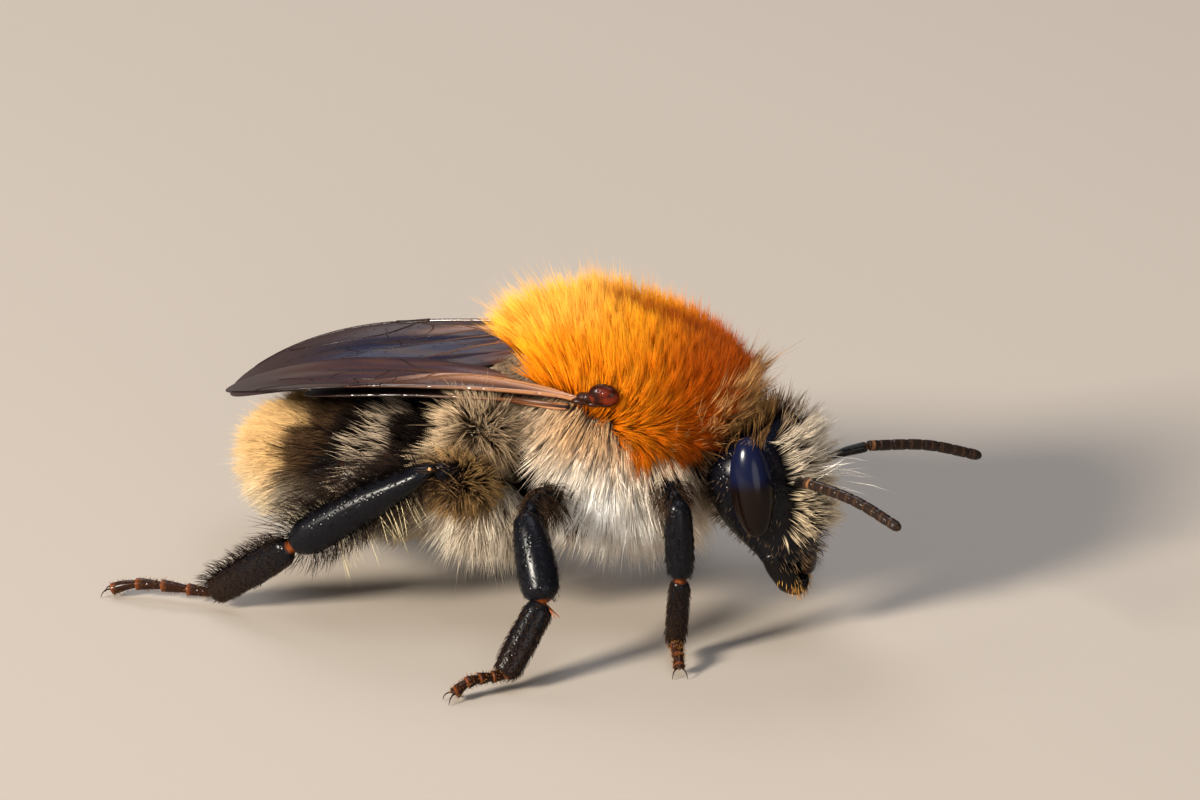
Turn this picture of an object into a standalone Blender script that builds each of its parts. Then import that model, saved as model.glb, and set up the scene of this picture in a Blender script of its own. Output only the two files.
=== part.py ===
"""A queen carder bumblebee standing at rest, life size, as separate closed solids.

Metres, +Z up, the head towards +X, the bee's left side towards +Y, feet on Z = 0.
Body solids reach out to the tips of the coat, so a furry part is its full outline.
Every size below is in millimetres and is turned into metres by MM.
"""

from math import cos, pi, radians, sin

import bpy
import numpy as np

MM = 0.001
GAP = 0.06                 # clearance between neighbouring solids
SIDES = 16                 # facets round a body section
LIMB_SIDES = 8             # facets round a leg or feeler
SHARP_ANGLE = radians(50.0)

THORAX_ROWS = 15
TERGITE_ROWS = 4
FINE_ROWS = 200            # rows read from the abdomen's curve to find each cut

# Thorax with its coat: x, middle height, half width, rise above it, drop below it.
THORAX = (
    (-4.0, 7.75, 1.5, 0.65, 0.6),
    (-3.5, 6.7, 2.5, 2.1, 4.0),
    (-2.6, 6.3, 3.05, 3.0, 4.5),
    (-1.0, 6.0, 3.4, 3.7, 4.35),
    (0.6, 5.95, 3.45, 3.85, 4.45),
    (2.1, 5.9, 3.15, 3.6, 4.0),
    (3.2, 6.1, 2.6, 2.9, 3.2),
    (4.0, 6.7, 1.8, 1.75, 2.2),
    (4.35, 7.1, 0.9, 0.8, 0.9),
)

# Abdomen with its coat, waist to tail, in the same terms as the thorax.
ABDOMEN = (
    (-3.95, 4.0, 2.0, 1.2, 2.0),
    (-4.5, 4.0, 2.75, 1.55, 2.45),
    (-5.5, 3.9, 3.2, 1.62, 2.4),
    (-7.0, 3.75, 3.4, 1.9, 2.3),
    (-8.5, 3.6, 3.1, 1.95, 2.15),
    (-9.8, 3.5, 2.45, 1.8, 1.8),
    (-10.8, 3.45, 1.55, 1.4, 1.4),
    (-11.25, 3.4, 0.7, 0.7, 0.7),
)
TERGITE_ENDS = (-3.95, -5.0, -6.35, -7.7, -9.0, -10.1, -11.25)

# Head with its coat, crown to mouth, about HEAD_CENTRE: height along the face,
# half width, reach forwards, reach backwards.
HEAD_CENTRE = (4.7, 0.0, 5.0)
FACE_LEAN = radians(9.0)   # the mouth is carried ahead of the crown
HEAD = (
    (2.45, 0.7, 0.75, 0.45),
    (2.0, 1.45, 1.35, 0.95),
    (1.2, 1.95, 1.75, 1.45),
    (0.2, 2.12, 1.75, 1.6),
    (-0.9, 2.0, 1.6, 1.5),
    (-1.8, 1.65, 1.35, 1.15),
    (-2.5, 1.2, 0.95, 0.7),
    (-2.95, 0.85, 0.65, 0.35),
)
HEAD_ROWS = 11
EYE_PLACE = (4.78, 1.72, 5.0)
EYE_SIZE = (0.68, 0.5, 1.74)        # half sizes: along the head, across it, up the face
TEGULA_PLACE = (0.6, 3.0, 7.7)
TEGULA_SIZE = (0.55, 0.36, 0.45)
TEGULA_TILT = 0.2
JAW = ((5.25, 0.62, 2.02), (5.4, 0.55, 1.7), (5.45, 0.42, 1.32))
JAW_SIZE = (0.38, 0.26)

# Antennae: socket, elbow, middle and tip of each.
ANTENNAE = {
    "right": ((5.5, -0.6, 4.4), (6.5, -2.4, 5.6), (8.2, -3.4, 5.6), (9.75, -4.2, 5.3)),
    "left": ((5.5, 0.6, 4.4), (7.1, 1.6, 5.2), (8.5, 2.9, 4.9), (9.9, 4.0, 4.3)),
}
FEELER_RADIUS = 0.25
FEELER_ROWS = 8

# Wings: root, how far the front edge spreads per mm, drop along the length, fall per
# mm across, and sag at the tip. The right wing lies over the left one.
WING_THICKNESS = 0.5
WING_ROOT_CHORD = 0.45
WING_TIP_CHORD = 0.35
WING_TIP_CURL = 0.4        # share of the chord by which the front edge curls in
WING_SLOT = 1.2            # how far a wing's slot runs on out of the thorax's side
WINGS = {
    "forewing_right": dict(root=(-0.15, -2.75, 7.5), out=0.05, length=10.95, chord=3.3,
                           drop=0.2, fall=0.1, sag=1.0),
    "forewing_left": dict(root=(-0.15, 2.75, 7.5), out=0.02, length=11.95, chord=2.5,
                          drop=0.95, fall=0.23, sag=0.9),
    "hindwing_right": dict(root=(-0.5, -2.7, 6.85), out=0.02, length=8.2, chord=1.9,
                           drop=0.2, fall=0.16, sag=0.35),
    "hindwing_left": dict(root=(-0.5, 2.7, 6.85), out=0.0, length=8.2, chord=1.5,
                          drop=0.66, fall=0.2, sag=0.35),
}

# Legs: hip, knee, ankle, heel and toe, each joint where it stands in the pose.
LEGS = {
    "front_right": ((1.8, -1.5, 4.4), (3.0, -3.2, 5.45), (3.05, -3.25, 2.6),
                    (2.85, -3.15, 0.45), (3.3, -4.2, 0.12)),
    "mid_right": ((-0.6, -1.8, 3.7), (-1.5, -4.15, 5.15), (-0.2, -5.6, 2.43),
                  (-1.0, -6.8, 0.45), (-2.1, -7.8, 0.12)),
    "hind_right": ((-2.5, -1.9, 3.7), (-4.05, -3.95, 5.4), (-8.2, -4.3, 2.5),
                   (-10.9, -3.8, 0.42), (-13.9, -3.95, 0.12)),
    "front_left": ((1.8, 1.5, 4.4), (3.05, 3.2, 5.45), (3.9, 3.5, 2.6),
                   (4.15, 3.9, 0.5), (4.5, 4.95, 0.12)),
    "mid_left": ((-0.6, 1.8, 3.7), (-1.35, 4.15, 5.15), (-0.35, 5.8, 2.4),
                 (-1.1, 6.9, 0.45), (-2.2, 7.8, 0.12)),
    "hind_left": ((-2.5, 1.9, 3.7), (-4.0, 3.95, 5.5), (-7.1, 4.55, 2.0),
                  (-9.6, 4.3, 0.42), (-12.0, 4.7, 0.12)),
}
# Half breadth and half thickness of femur, tibia, basitarsus and tarsus of each pair.
LEG_SIZES = {
    "front": ((0.42, 0.36), (0.4, 0.34), (0.32, 0.28), (0.27, 0.25)),
    "mid": ((0.45, 0.38), (0.6, 0.38), (0.48, 0.27), (0.27, 0.25)),
    "hind": ((0.52, 0.42), (0.72, 0.34), (0.55, 0.28), (0.27, 0.25)),
}
# Share of that breadth at the start, middle and end of each length of leg.
END_SHARE = 0.62           # share of the full section left on a limb's end face
FEMUR_SHAPE = (0.85, 1.0, 0.85)
TIBIA_SHAPE = (0.62, 0.94, 1.0)
FOOT_SHAPE = (0.95, 1.0, 0.85)
ANKLE_ROOM = 0.15
BELLY_SQUARENESS = 2.5     # superellipse power of the hanging coat; 2 is an ellipse


def clear_scene():
    """Remove whatever the file opened with."""
    for thing in list(bpy.data.objects):
        bpy.data.objects.remove(thing, do_unlink=True)


def collection(name):
    group = bpy.data.collections.new(name)
    bpy.context.scene.collection.children.link(group)
    return group


def material(name, colour, roughness, metallic=0.0):
    paint = bpy.data.materials.new(name)
    paint.use_nodes = True
    shader = paint.node_tree.nodes["Principled BSDF"]
    shader.inputs["Base Color"].default_value = (*colour, 1.0)
    shader.inputs["Roughness"].default_value = roughness
    shader.inputs["Metallic"].default_value = metallic
    paint.diffuse_color = (*colour, 1.0)
    return paint


def through(stations, count):
    """Rows of a smooth Catmull-Rom curve of `count` points through the stations."""
    rows = np.array(stations, float)
    padded = np.vstack([2 * rows[0] - rows[1], rows, 2 * rows[-1] - rows[-2]])
    place = np.linspace(0.0, len(rows) - 1.000001, count)
    first = place.astype(int)
    t = (place - first)[:, None]
    a, b, c, d = (padded[first + shift] for shift in range(4))
    return 0.5 * (2 * b + (c - a) * t + (2 * a - 5 * b + 4 * c - d) * t ** 2
                  + (3 * b - a - 3 * c + d) * t ** 3)


def unit(vector):
    return vector / np.linalg.norm(vector)


def mesh_object(name, vertices, faces, group, paint=None):
    """A smooth-shaded object from points in millimetres, placed at the origin."""
    data = bpy.data.meshes.new(name)
    data.from_pydata((np.asarray(vertices) * MM).tolist(), [], faces)
    data.shade_smooth()
    data.set_sharp_from_angle(angle=SHARP_ANGLE)
    thing = bpy.data.objects.new(name, data)
    if paint:
        data.materials.append(paint)
    group.objects.link(thing)
    return thing


def loft(name, rings, group, paint=None):
    """Closed solid through a row of equal rings, each end drawn to its middle."""
    count, sides = rings.shape[:2]
    vertices = np.vstack([rings.reshape(-1, 3), rings[0].mean(0), rings[-1].mean(0)])
    start, end = count * sides, count * sides + 1
    faces = []
    for k in range(sides):
        n = (k + 1) % sides
        faces.append((start, n, k))
        for row in range(count - 1):
            low, high = row * sides, (row + 1) * sides
            faces.append((low + k, low + n, high + n, high + k))
        last = (count - 1) * sides
        faces.append((end, last + k, last + n))
    return mesh_object(name, vertices, faces, group, paint)


def body_rings(stations, count, grow=0.0):
    """Rings across X for rows of x, middle height, half width, rise and drop."""
    angle = np.linspace(0, 2 * pi, SIDES, endpoint=False)
    rings = []
    for x, middle, half, rise, drop in through(stations, count):
        reach = np.where(np.sin(angle) > 0, rise + grow, drop + grow)
        power = np.where(np.sin(angle) > 0, 1.0, 2.0 / BELLY_SQUARENESS)
        across = np.sign(np.cos(angle)) * np.abs(np.cos(angle)) ** power
        upward = np.sign(np.sin(angle)) * np.abs(np.sin(angle)) ** power
        ring = np.stack([np.full(SIDES, x), (half + grow) * across,
                         middle + reach * upward], axis=1)
        rings.append(ring)
    return np.array(rings)


def facing_out(rings):
    """Turn the ring order round if the loft would come out inside out."""
    along = rings[-1].mean(0) - rings[0].mean(0)
    spin = np.cross(rings[0][0] - rings[0].mean(0), rings[0][1] - rings[0].mean(0))
    return rings if np.dot(spin, along) > 0 else rings[:, ::-1]


def head_rings(grow=0.0):
    """Rings across the face, stacked along its leaning axis, crown first."""
    angle = np.linspace(0, 2 * pi, SIDES, endpoint=False)
    up = np.array([-sin(FACE_LEAN), 0, cos(FACE_LEAN)])
    front = np.array([cos(FACE_LEAN), 0, sin(FACE_LEAN)])
    side = np.array([0, 1.0, 0])
    rings = []
    for height, half, ahead, behind in through(HEAD, HEAD_ROWS):
        reach = np.where(np.cos(angle) > 0, ahead + grow, behind + grow)
        centre = np.array(HEAD_CENTRE) + up * (height + grow * np.sign(height))
        rings.append(centre + np.outer(reach * np.cos(angle), front)
                     + np.outer((half + grow) * np.sin(angle), side))
    return facing_out(np.array(rings))


def limb_rings(path, broad, thin, shape=(1.0, 1.0, 1.0), grow=0.0, floor=None):
    """Limb along a path: ellipses, broad in its upright plane, with rounded-off ends."""
    path = np.array(path, float)
    along = np.gradient(path, axis=0)
    length = np.concatenate([[0], np.cumsum(np.linalg.norm(np.diff(path, axis=0), axis=1))])
    along_all = unit(path[-1] - path[0])
    sideways = unit(np.cross(along_all, (0, 0, 1.0)))
    angle = np.linspace(0, 2 * pi, LIMB_SIDES, endpoint=False) + pi / LIMB_SIDES
    rings = []
    for point, way, run in zip(path, along, length):
        flat = unit(sideways - unit(way) * np.dot(sideways, unit(way)))
        upright = np.cross(flat, unit(way))
        ends = min(run, length[-1] - run) / thin
        round_off = END_SHARE + (1 - END_SHARE) * min(2.5 * ends, 1.0)
        swell = np.interp(run / length[-1], (0.0, 0.5, 1.0), shape)
        half_broad = broad * swell * round_off + grow
        half_thin = thin * round_off + grow
        rings.append(point + np.outer(half_thin * np.cos(angle), flat)
                     + np.outer(half_broad * np.sin(angle), upright))
    rings = facing_out(np.array(rings))
    if floor is not None:
        rings[:, :, 2] = np.maximum(rings[:, :, 2], floor)
    return rings


def stretch(start, end, from_start, from_end, count=5):
    """Points of a straight run between two joints, set back from each of them."""
    start, end = np.array(start), np.array(end)
    way = unit(end - start)
    a, b = start + way * from_start, end - way * from_end
    place = (1 - np.cos(np.linspace(0, pi, count))) / 2
    return a + np.outer(place, b - a)


def setback(before, joint, after, radius):
    """How far two limbs of one radius stop short of a bent joint to stay clear."""
    one = unit(np.array(before) - np.array(joint))
    two = unit(np.array(after) - np.array(joint))
    half_angle = np.arccos(np.clip(np.dot(one, two), -1, 1)) / 2
    return (radius + GAP) / sin(half_angle) - radius


def ball(name, place, half, tilt, group, paint=None, grow=0.0, segments=16, rings=10):
    """Ellipsoid from a UV sphere, leaning by `tilt` about the Y axis."""
    bpy.ops.mesh.primitive_uv_sphere_add(segments=segments, ring_count=rings, radius=1.0)
    thing = bpy.context.object
    thing.name = name
    thing.data.name = name
    points = np.empty(len(thing.data.vertices) * 3)
    thing.data.vertices.foreach_get("co", points)
    points = points.reshape(-1, 3) * (np.array(half) + grow)
    turned = np.stack([points[:, 0] * cos(tilt) - points[:, 2] * sin(tilt), points[:, 1],
                       points[:, 0] * sin(tilt) + points[:, 2] * cos(tilt)], axis=1)
    thing.data.vertices.foreach_set("co", (turned + np.array(place)).ravel() * MM)
    thing.data.shade_smooth()
    if paint:
        thing.data.materials.append(paint)
    for owner in list(thing.users_collection):
        owner.objects.unlink(thing)
    group.objects.link(thing)
    return thing


def wing(name, size, group, paint=None, grow=0.0, open_side=0.0):
    """Wing plate: an open curved sheet given its thickness by Solidify.

    u runs from root to tip and t from the front edge to the hind edge. The front edge
    is straight to mid length and then curls in to the tip.
    """
    side = 1.0 if "left" in name else -1.0
    u = np.linspace(0.0, 1.0, 12)
    t = np.linspace(0.0, 1.0, 6)
    curl = WING_TIP_CURL * size["chord"] * np.clip(2 * u - 1, 0, 1) ** 2.4
    lead = curl - grow - open_side
    belly = size["chord"] * np.abs(np.sin(pi * u ** 1.15)) ** 0.85
    chord = np.maximum(WING_ROOT_CHORD * (1 - u) + belly, WING_TIP_CHORD)
    chord = chord + 2 * grow + open_side
    across = lead[:, None] + chord[:, None] * t[None, :]
    along = (size["length"] + 2 * grow) * u[:, None] - grow + 0 * across
    x0, y0, z0 = size["root"]
    x = x0 - along
    y = y0 + side * (size["out"] * along - across)
    sag = size["sag"] * u[:, None] ** 2.5
    z = z0 - size["drop"] * u[:, None] - size["fall"] * across - sag
    points = np.stack([x, y, z + grow], axis=2).reshape(-1, 3)
    rows, cols = across.shape
    faces = []
    for i in range(rows - 1):
        for j in range(cols - 1):
            quad = (i * cols + j, i * cols + j + 1, (i + 1) * cols + j + 1, (i + 1) * cols + j)
            faces.append(quad if side < 0 else quad[::-1])
    plate = mesh_object(name, points, faces, group, paint)
    skin = plate.modifiers.new("thickness", "SOLIDIFY")
    skin.thickness = (WING_THICKNESS + 2 * grow) * MM
    skin.offset = -1.0
    return plate


def carve(target, cutter):
    """Cut one solid's room out of another."""
    cutter.hide_render = True
    cutter.display_type = "WIRE"
    cut = target.modifiers.new("room for " + cutter.name, "BOOLEAN")
    cut.operation = "DIFFERENCE"
    cut.solver = "EXACT"
    cut.object = cutter


def build_head(parts, cutters, chitin, fur, glass):
    head = loft("head", head_rings(), parts, fur)
    for side, sign in (("right", -1), ("left", 1)):
        place = (EYE_PLACE[0], sign * EYE_PLACE[1], EYE_PLACE[2])
        ball("eye_" + side, place, EYE_SIZE, FACE_LEAN, parts, glass)
        carve(head, ball("eye_room_" + side, place, EYE_SIZE, FACE_LEAN, cutters, grow=GAP))
        jaw = [(x, sign * y, z) for x, y, z in JAW]
        loft("mandible_" + side, limb_rings(jaw, *JAW_SIZE), parts, chitin)
        socket, elbow, middle, tip = ANTENNAE[side]
        elbow_room = setback(socket, elbow, middle, FEELER_RADIUS)
        shaft = stretch(socket, elbow, 0.0, elbow_room)
        scape = limb_rings(shaft, FEELER_RADIUS, FEELER_RADIUS)
        loft("scape_" + side, scape, parts, chitin)
        room = limb_rings(shaft, FEELER_RADIUS, FEELER_RADIUS, grow=GAP)
        carve(head, loft("scape_room_" + side, room, cutters))
        way = unit(np.array(middle) - np.array(elbow))
        first = np.array(elbow) + way * elbow_room
        path = through((first, middle, tip), FEELER_ROWS)
        feeler = limb_rings(path, FEELER_RADIUS, FEELER_RADIUS)
        loft("flagellum_" + side, feeler, parts, chitin)


def build_trunk(parts, cutters, chitin, fur, membrane):
    thorax = loft("thorax", facing_out(body_rings(THORAX, THORAX_ROWS)), parts, fur)
    carve(thorax, loft("head_room", head_rings(grow=GAP), cutters))
    for side, sign in (("right", -1), ("left", 1)):
        place = (TEGULA_PLACE[0], sign * TEGULA_PLACE[1], TEGULA_PLACE[2])
        scale = dict(tilt=TEGULA_TILT, segments=12, rings=8)
        ball("tegula_" + side, place, TEGULA_SIZE, group=parts, paint=chitin, **scale)
        room = ball("tegula_room_" + side, place, TEGULA_SIZE, group=cutters, grow=GAP, **scale)
        carve(thorax, room)
    for name, size in WINGS.items():
        wing(name, size, parts, membrane)
        carve(thorax, wing(name + "_room", size, cutters, grow=GAP, open_side=WING_SLOT))
    return thorax


def build_abdomen(parts, fur):
    """Six rings of one loft, parted by thin cuts."""
    whole = through(ABDOMEN, FINE_ROWS)
    for number, (front, back) in enumerate(zip(TERGITE_ENDS, TERGITE_ENDS[1:]), start=1):
        inner_front = front - (GAP / 2 if number > 1 else 0.0)
        inner_back = back + (GAP / 2 if number < len(TERGITE_ENDS) - 1 else 0.0)
        places = np.linspace(inner_front, inner_back, TERGITE_ROWS)
        rows = [[np.interp(-x, -whole[:, 0], column) for column in whole.T] for x in places]
        rings = body_rings(rows, len(rows))
        loft("abdomen_%d" % number, facing_out(rings), parts, fur)


def build_legs(parts, cutters, thorax, chitin):
    for name, joints in LEGS.items():
        pair = name.split("_")[0]
        hip, knee, ankle, heel, toe = joints
        femur, tibia, basitarsus, tarsus = LEG_SIZES[pair]
        knee_room = setback(hip, knee, ankle, femur[0])
        shaft = stretch(hip, knee, 0.0, knee_room)
        loft("femur_" + name, limb_rings(shaft, *femur, FEMUR_SHAPE), parts, chitin)
        room_shaft = stretch(hip, knee, -GAP, knee_room - GAP)
        room = limb_rings(room_shaft, *femur, FEMUR_SHAPE, grow=GAP)
        carve(thorax, loft("femur_room_" + name, room, cutters))
        shaft = stretch(knee, ankle, knee_room, GAP / 2)
        loft("tibia_" + name, limb_rings(shaft, *tibia, TIBIA_SHAPE), parts, chitin)
        heel_room = setback(ankle, heel, toe, basitarsus[1])
        shaft = stretch(ankle, heel, ANKLE_ROOM, heel_room)
        foot = limb_rings(shaft, *basitarsus, FOOT_SHAPE, floor=0.0)
        loft("basitarsus_" + name, foot, parts, chitin)
        shaft = stretch(heel, toe, heel_room, 0.0)
        foot = limb_rings(shaft, *tarsus, FOOT_SHAPE, floor=0.0)
        loft("tarsus_" + name, foot, parts, chitin)


def stand_on_origin(parts):
    """Hang everything on one empty and put the middle of the outline over the origin."""
    bpy.context.view_layer.update()
    graph = bpy.context.evaluated_depsgraph_get()
    corners = [np.array(thing.evaluated_get(graph).bound_box) for thing in parts.objects]
    low = np.min([corner.min(0) for corner in corners], axis=0)
    high = np.max([corner.max(0) for corner in corners], axis=0)
    root = bpy.data.objects.new("bumblebee_root", None)
    bpy.context.scene.collection.objects.link(root)
    root.location = (-(low[0] + high[0]) / 2, -(low[1] + high[1]) / 2, 0.0)
    return root


def main():
    clear_scene()
    parts = collection("bumblebee")
    cutters = collection("bumblebee cutters")
    chitin = material("chitin", (0.02, 0.015, 0.014), 0.28)
    fur = material("ginger coat", (0.8, 0.36, 0.06), 0.8)
    pale = material("banded coat", (0.42, 0.36, 0.25), 0.85)
    glass = material("eye", (0.015, 0.014, 0.02), 0.12)
    membrane = material("wing membrane", (0.12, 0.08, 0.07), 0.3)
    build_head(parts, cutters, chitin, pale, glass)
    thorax = build_trunk(parts, cutters, chitin, fur, membrane)
    build_abdomen(parts, pale)
    build_legs(parts, cutters, thorax, chitin)
    root = stand_on_origin(parts)
    for thing in list(parts.objects) + list(cutters.objects):
        thing.parent = root


main()
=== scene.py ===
from math import cos, pi, radians, sin

import bpy
import numpy as np
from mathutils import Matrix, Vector, kdtree


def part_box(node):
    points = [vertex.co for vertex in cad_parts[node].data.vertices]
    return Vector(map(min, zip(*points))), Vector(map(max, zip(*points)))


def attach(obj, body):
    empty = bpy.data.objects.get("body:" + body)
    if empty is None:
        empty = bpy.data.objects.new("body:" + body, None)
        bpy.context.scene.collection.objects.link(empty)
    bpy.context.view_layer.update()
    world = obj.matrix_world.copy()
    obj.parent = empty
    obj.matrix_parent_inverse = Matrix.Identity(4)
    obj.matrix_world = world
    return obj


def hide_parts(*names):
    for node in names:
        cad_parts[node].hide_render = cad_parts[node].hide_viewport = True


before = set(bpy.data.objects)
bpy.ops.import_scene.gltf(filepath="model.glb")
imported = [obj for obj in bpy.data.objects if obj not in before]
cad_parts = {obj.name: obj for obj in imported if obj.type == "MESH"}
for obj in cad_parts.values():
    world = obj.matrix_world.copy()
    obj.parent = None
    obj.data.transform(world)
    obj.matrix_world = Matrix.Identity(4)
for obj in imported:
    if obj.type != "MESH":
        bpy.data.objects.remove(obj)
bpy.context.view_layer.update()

mm = 0.001

# Shapes below are in millimetres about the bee's own origin: the waist line over the
# floor, +X to the head, +Y to its left. The frame's thorax says where that is.
thoraxRear = -4.0
thoraxLow, thoraxHigh = (np.array(corner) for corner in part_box("thorax"))
beeOrigin = np.array([thoraxLow[0] - thoraxRear * mm, (thoraxLow[1] + thoraxHigh[1]) / 2, 0.0])
xAxis, yAxis, zAxis = np.eye(3)
sides = {"right": -1.0, "left": 1.0}


def unit(v):
    # each row divided by its length
    return v / np.maximum(np.linalg.norm(v, axis=-1, keepdims=True), 1e-9)


def ease(low, high, x):
    # 0 below low, 1 above high, 3t^2 - 2t^3 between
    t = np.clip((x - low) / (high - low), 0.0, 1.0)
    return t * t * (3 - 2 * t)


def through(stations, place):
    # Catmull-Rom curve through the station rows, read at places from 0 to 1
    rows = np.array(stations, float)
    padded = np.vstack([2 * rows[0] - rows[1], rows, 2 * rows[-1] - rows[-2]])
    spot = np.clip(np.asarray(place, float), 0, 1) * (len(rows) - 1.000001)
    first = spot.astype(int)
    t = (spot - first)[..., None]
    a, b, c, d = (padded[first + k] for k in range(4))
    return 0.5 * (2 * b + (c - a) * t + (2 * a - 5 * b + 4 * c - d) * t ** 2
                  + (3 * b - a - 3 * c + d) * t ** 3)


def ripple(points, size, seed):
    # smooth wandering value about -1 to 1: a mean of sine waves in random directions
    draw = np.random.default_rng(seed)
    waves = unit(draw.normal(size=(7, 3))) * (2 * pi / size) * draw.uniform(0.6, 1.6, (7, 1))
    phase = draw.uniform(0, 2 * pi, 7)
    return np.sin(points @ waves.T + phase).mean(-1) * 2.0


def apart(a, b, spot):
    # squared elliptical distance of places (a, b) from a spot (middle, middle, half, half)
    return ((a - spot[0]) / spot[2]) ** 2 + ((b - spot[1]) / spot[3]) ** 2


def srgb(red, green, blue):
    # display colour out of 255 to linear light
    c = np.array([red, green, blue]) / 255.0
    return np.where(c <= 0.04045, c / 12.92, ((c + 0.055) / 1.055) ** 2.4)


def blendTo(a, b, t):
    # a + (b - a) t for rows of colours
    t = np.asarray(t, float)[..., None]
    return a + (b - a) * t


def shades(p, base, *steps):
    # one colour at every point, blended on in turn by (colour, share) steps
    colour = np.tile(base, (len(p), 1))
    for other, share in steps:
        colour = blendTo(colour, other, share)
    return colour


def placed(name, data):
    # a new object of the data in the scene
    thing = bpy.data.objects.new(name, data)
    bpy.context.scene.collection.objects.link(thing)
    return thing


def newPiece(name, points, faceSets, material, tints, uv=None):
    # one mesh object at the origin from points in millimetres and sets of equal faces
    data = bpy.data.meshes.new(name)
    faceSets = [np.asarray(f, np.int32) for f in faceSets if len(f)]
    corners = np.concatenate([f.ravel() for f in faceSets])
    sizes = np.concatenate([np.full(len(f), f.shape[1], np.int32) for f in faceSets])
    data.vertices.add(len(points))
    data.vertices.foreach_set("co", (points * mm + beeOrigin).astype(np.float32).ravel())
    data.loops.add(len(corners))
    data.loops.foreach_set("vertex_index", corners)
    data.polygons.add(len(sizes))
    starts = np.concatenate([[0], np.cumsum(sizes)[:-1]]).astype(np.int32)
    data.polygons.foreach_set("loop_start", starts)
    data.polygons.foreach_set("use_smooth", np.ones(len(sizes), bool))
    data.update(calc_edges=True)
    store = data.color_attributes.new("tint", "FLOAT_COLOR", "POINT")
    full = np.concatenate([tints, np.ones((len(tints), 1))], axis=1)
    store.data.foreach_set("color", full.astype(np.float32).ravel())
    if uv is not None:
        layer = data.uv_layers.new(name="OFBake")
        layer.data.foreach_set("uv", uv[corners].astype(np.float32).ravel())
    data.materials.append(material)
    thing = placed(name, data)
    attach(thing, "root")
    return thing


def gridFaces(rows, cols, wrap):
    # quads of a rows x cols grid of points, closed round in the second way if wrap
    i, j = np.meshgrid(np.arange(rows - 1), np.arange(cols if wrap else cols - 1), indexing="ij")
    i, j = i.ravel(), j.ravel()
    k = (j + 1) % cols
    return np.stack([i * cols + j, i * cols + k, (i + 1) * cols + k, (i + 1) * cols + j], axis=1)


def fanFaces(ring, pole, flip):
    # triangles from a ring of point numbers to one pole
    faces = np.stack([ring, np.roll(ring, -1), np.full(len(ring), pole)], axis=1)
    return faces[:, ::-1] if flip else faces


def outward(points, faceSets):
    # turn every face round if the closed shape's volume comes out negative
    volume = 0.0
    for faces in faceSets:
        for k in range(1, faces.shape[1] - 1):
            a, b, c = points[faces[:, 0]], points[faces[:, k]], points[faces[:, k + 1]]
            volume += np.einsum("ij,ij->i", a, np.cross(b, c)).sum()
    return faceSets if volume > 0 else [faces[:, ::-1] for faces in faceSets]


def shellMesh(surface, rows, cols, crowd=0.5):
    # closed shell of a surface whose u runs pole to pole and whose v runs once round;
    # rows crowd towards the poles as (1 - cos) does
    u = np.linspace(0, 1, rows + 2)
    u = (1 - crowd) * u + crowd * (0.5 - 0.5 * np.cos(pi * u))
    v = np.arange(cols) / cols
    grid = surface(*np.meshgrid(u[1:-1], v, indexing="ij")).reshape(-1, 3)
    poles = surface(np.array([0.0, 1.0]), np.array([0.0, 0.0]))
    points = np.vstack([grid, poles])
    last = (rows - 1) * cols + np.arange(cols)
    faces = [gridFaces(rows, cols, True), fanFaces(np.arange(cols), rows * cols, True),
             fanFaces(last, rows * cols + 1, False)]
    return points, outward(points, faces)


def joined(parts):
    # several (points, faceSets) as one
    points = np.vstack([p for p, f in parts])
    faceSets, start = [], 0
    for p, faces in parts:
        faceSets += [f + start for f in faces]
        start += len(p)
    return points, faceSets


def bent(angle, power):
    # cosine and sine of a superellipse: sign times the size to the power 2 / power
    c, s = np.cos(angle), np.sin(angle)
    return np.sign(c) * np.abs(c) ** (2 / power), np.sign(s) * np.abs(s) ** (2 / power)


def limbSurface(path, broad, thin, shares=((0, 1, 1), (1, 1, 1)), ends=(0.05, 0.05), power=2.0,
                flat=None):
    # tube along a curve: rings are superellipses, broad upright x thin sideways, times the
    # share rows (place, broad, thin); both ends close as sqrt(1 - (1 - u/end)^2)
    path = np.array(path, float)
    shares = np.array(shares, float)
    overall = unit(path[-1] - path[0])
    sideways = unit(np.cross(overall, zAxis)) if flat is None else np.array(flat, float)

    def surface(u, v):
        # the path's point at u, plus the ring's point at turn v in the plane across its way
        here = through(path, u)
        way = unit(through(path, np.minimum(u + 0.01, 1)) - through(path, np.maximum(u - 0.01, 0)))
        across = unit(sideways - way * (way @ sideways)[..., None])
        upright = np.cross(across, way)
        close = (np.sqrt(1 - (1 - np.clip(u / ends[0], 0, 1)) ** 2)
                 * np.sqrt(1 - (1 - np.clip((1 - u) / ends[1], 0, 1)) ** 2))
        b = broad * np.interp(u, shares[:, 0], shares[:, 1]) * close
        t = thin * np.interp(u, shares[:, 0], shares[:, 2]) * close
        c, s = bent(2 * pi * v, power)
        return here + across * (t * c)[..., None] + upright * (b * s)[..., None]

    return surface


def smoothShares(rows, steps=24):
    # share rows drawn out along a smooth curve
    return through(rows, np.linspace(0, 1, steps))


def ballSurface(centre, half, axes=None, power=2.0):
    # superellipsoid with half sizes along its front, side and up axes
    front, aside, up = np.eye(3) if axes is None else axes

    def surface(u, v):
        # height cos(pi u) on rings of size sin(pi u)
        ring, (c, s) = np.sin(pi * u), bent(2 * pi * v, power)
        f, w, h = half[0] * ring * c, half[1] * ring * s, half[2] * np.cos(pi * u)
        return (np.array(centre) + f[..., None] * front + w[..., None] * aside
                + h[..., None] * up)

    return surface


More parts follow.
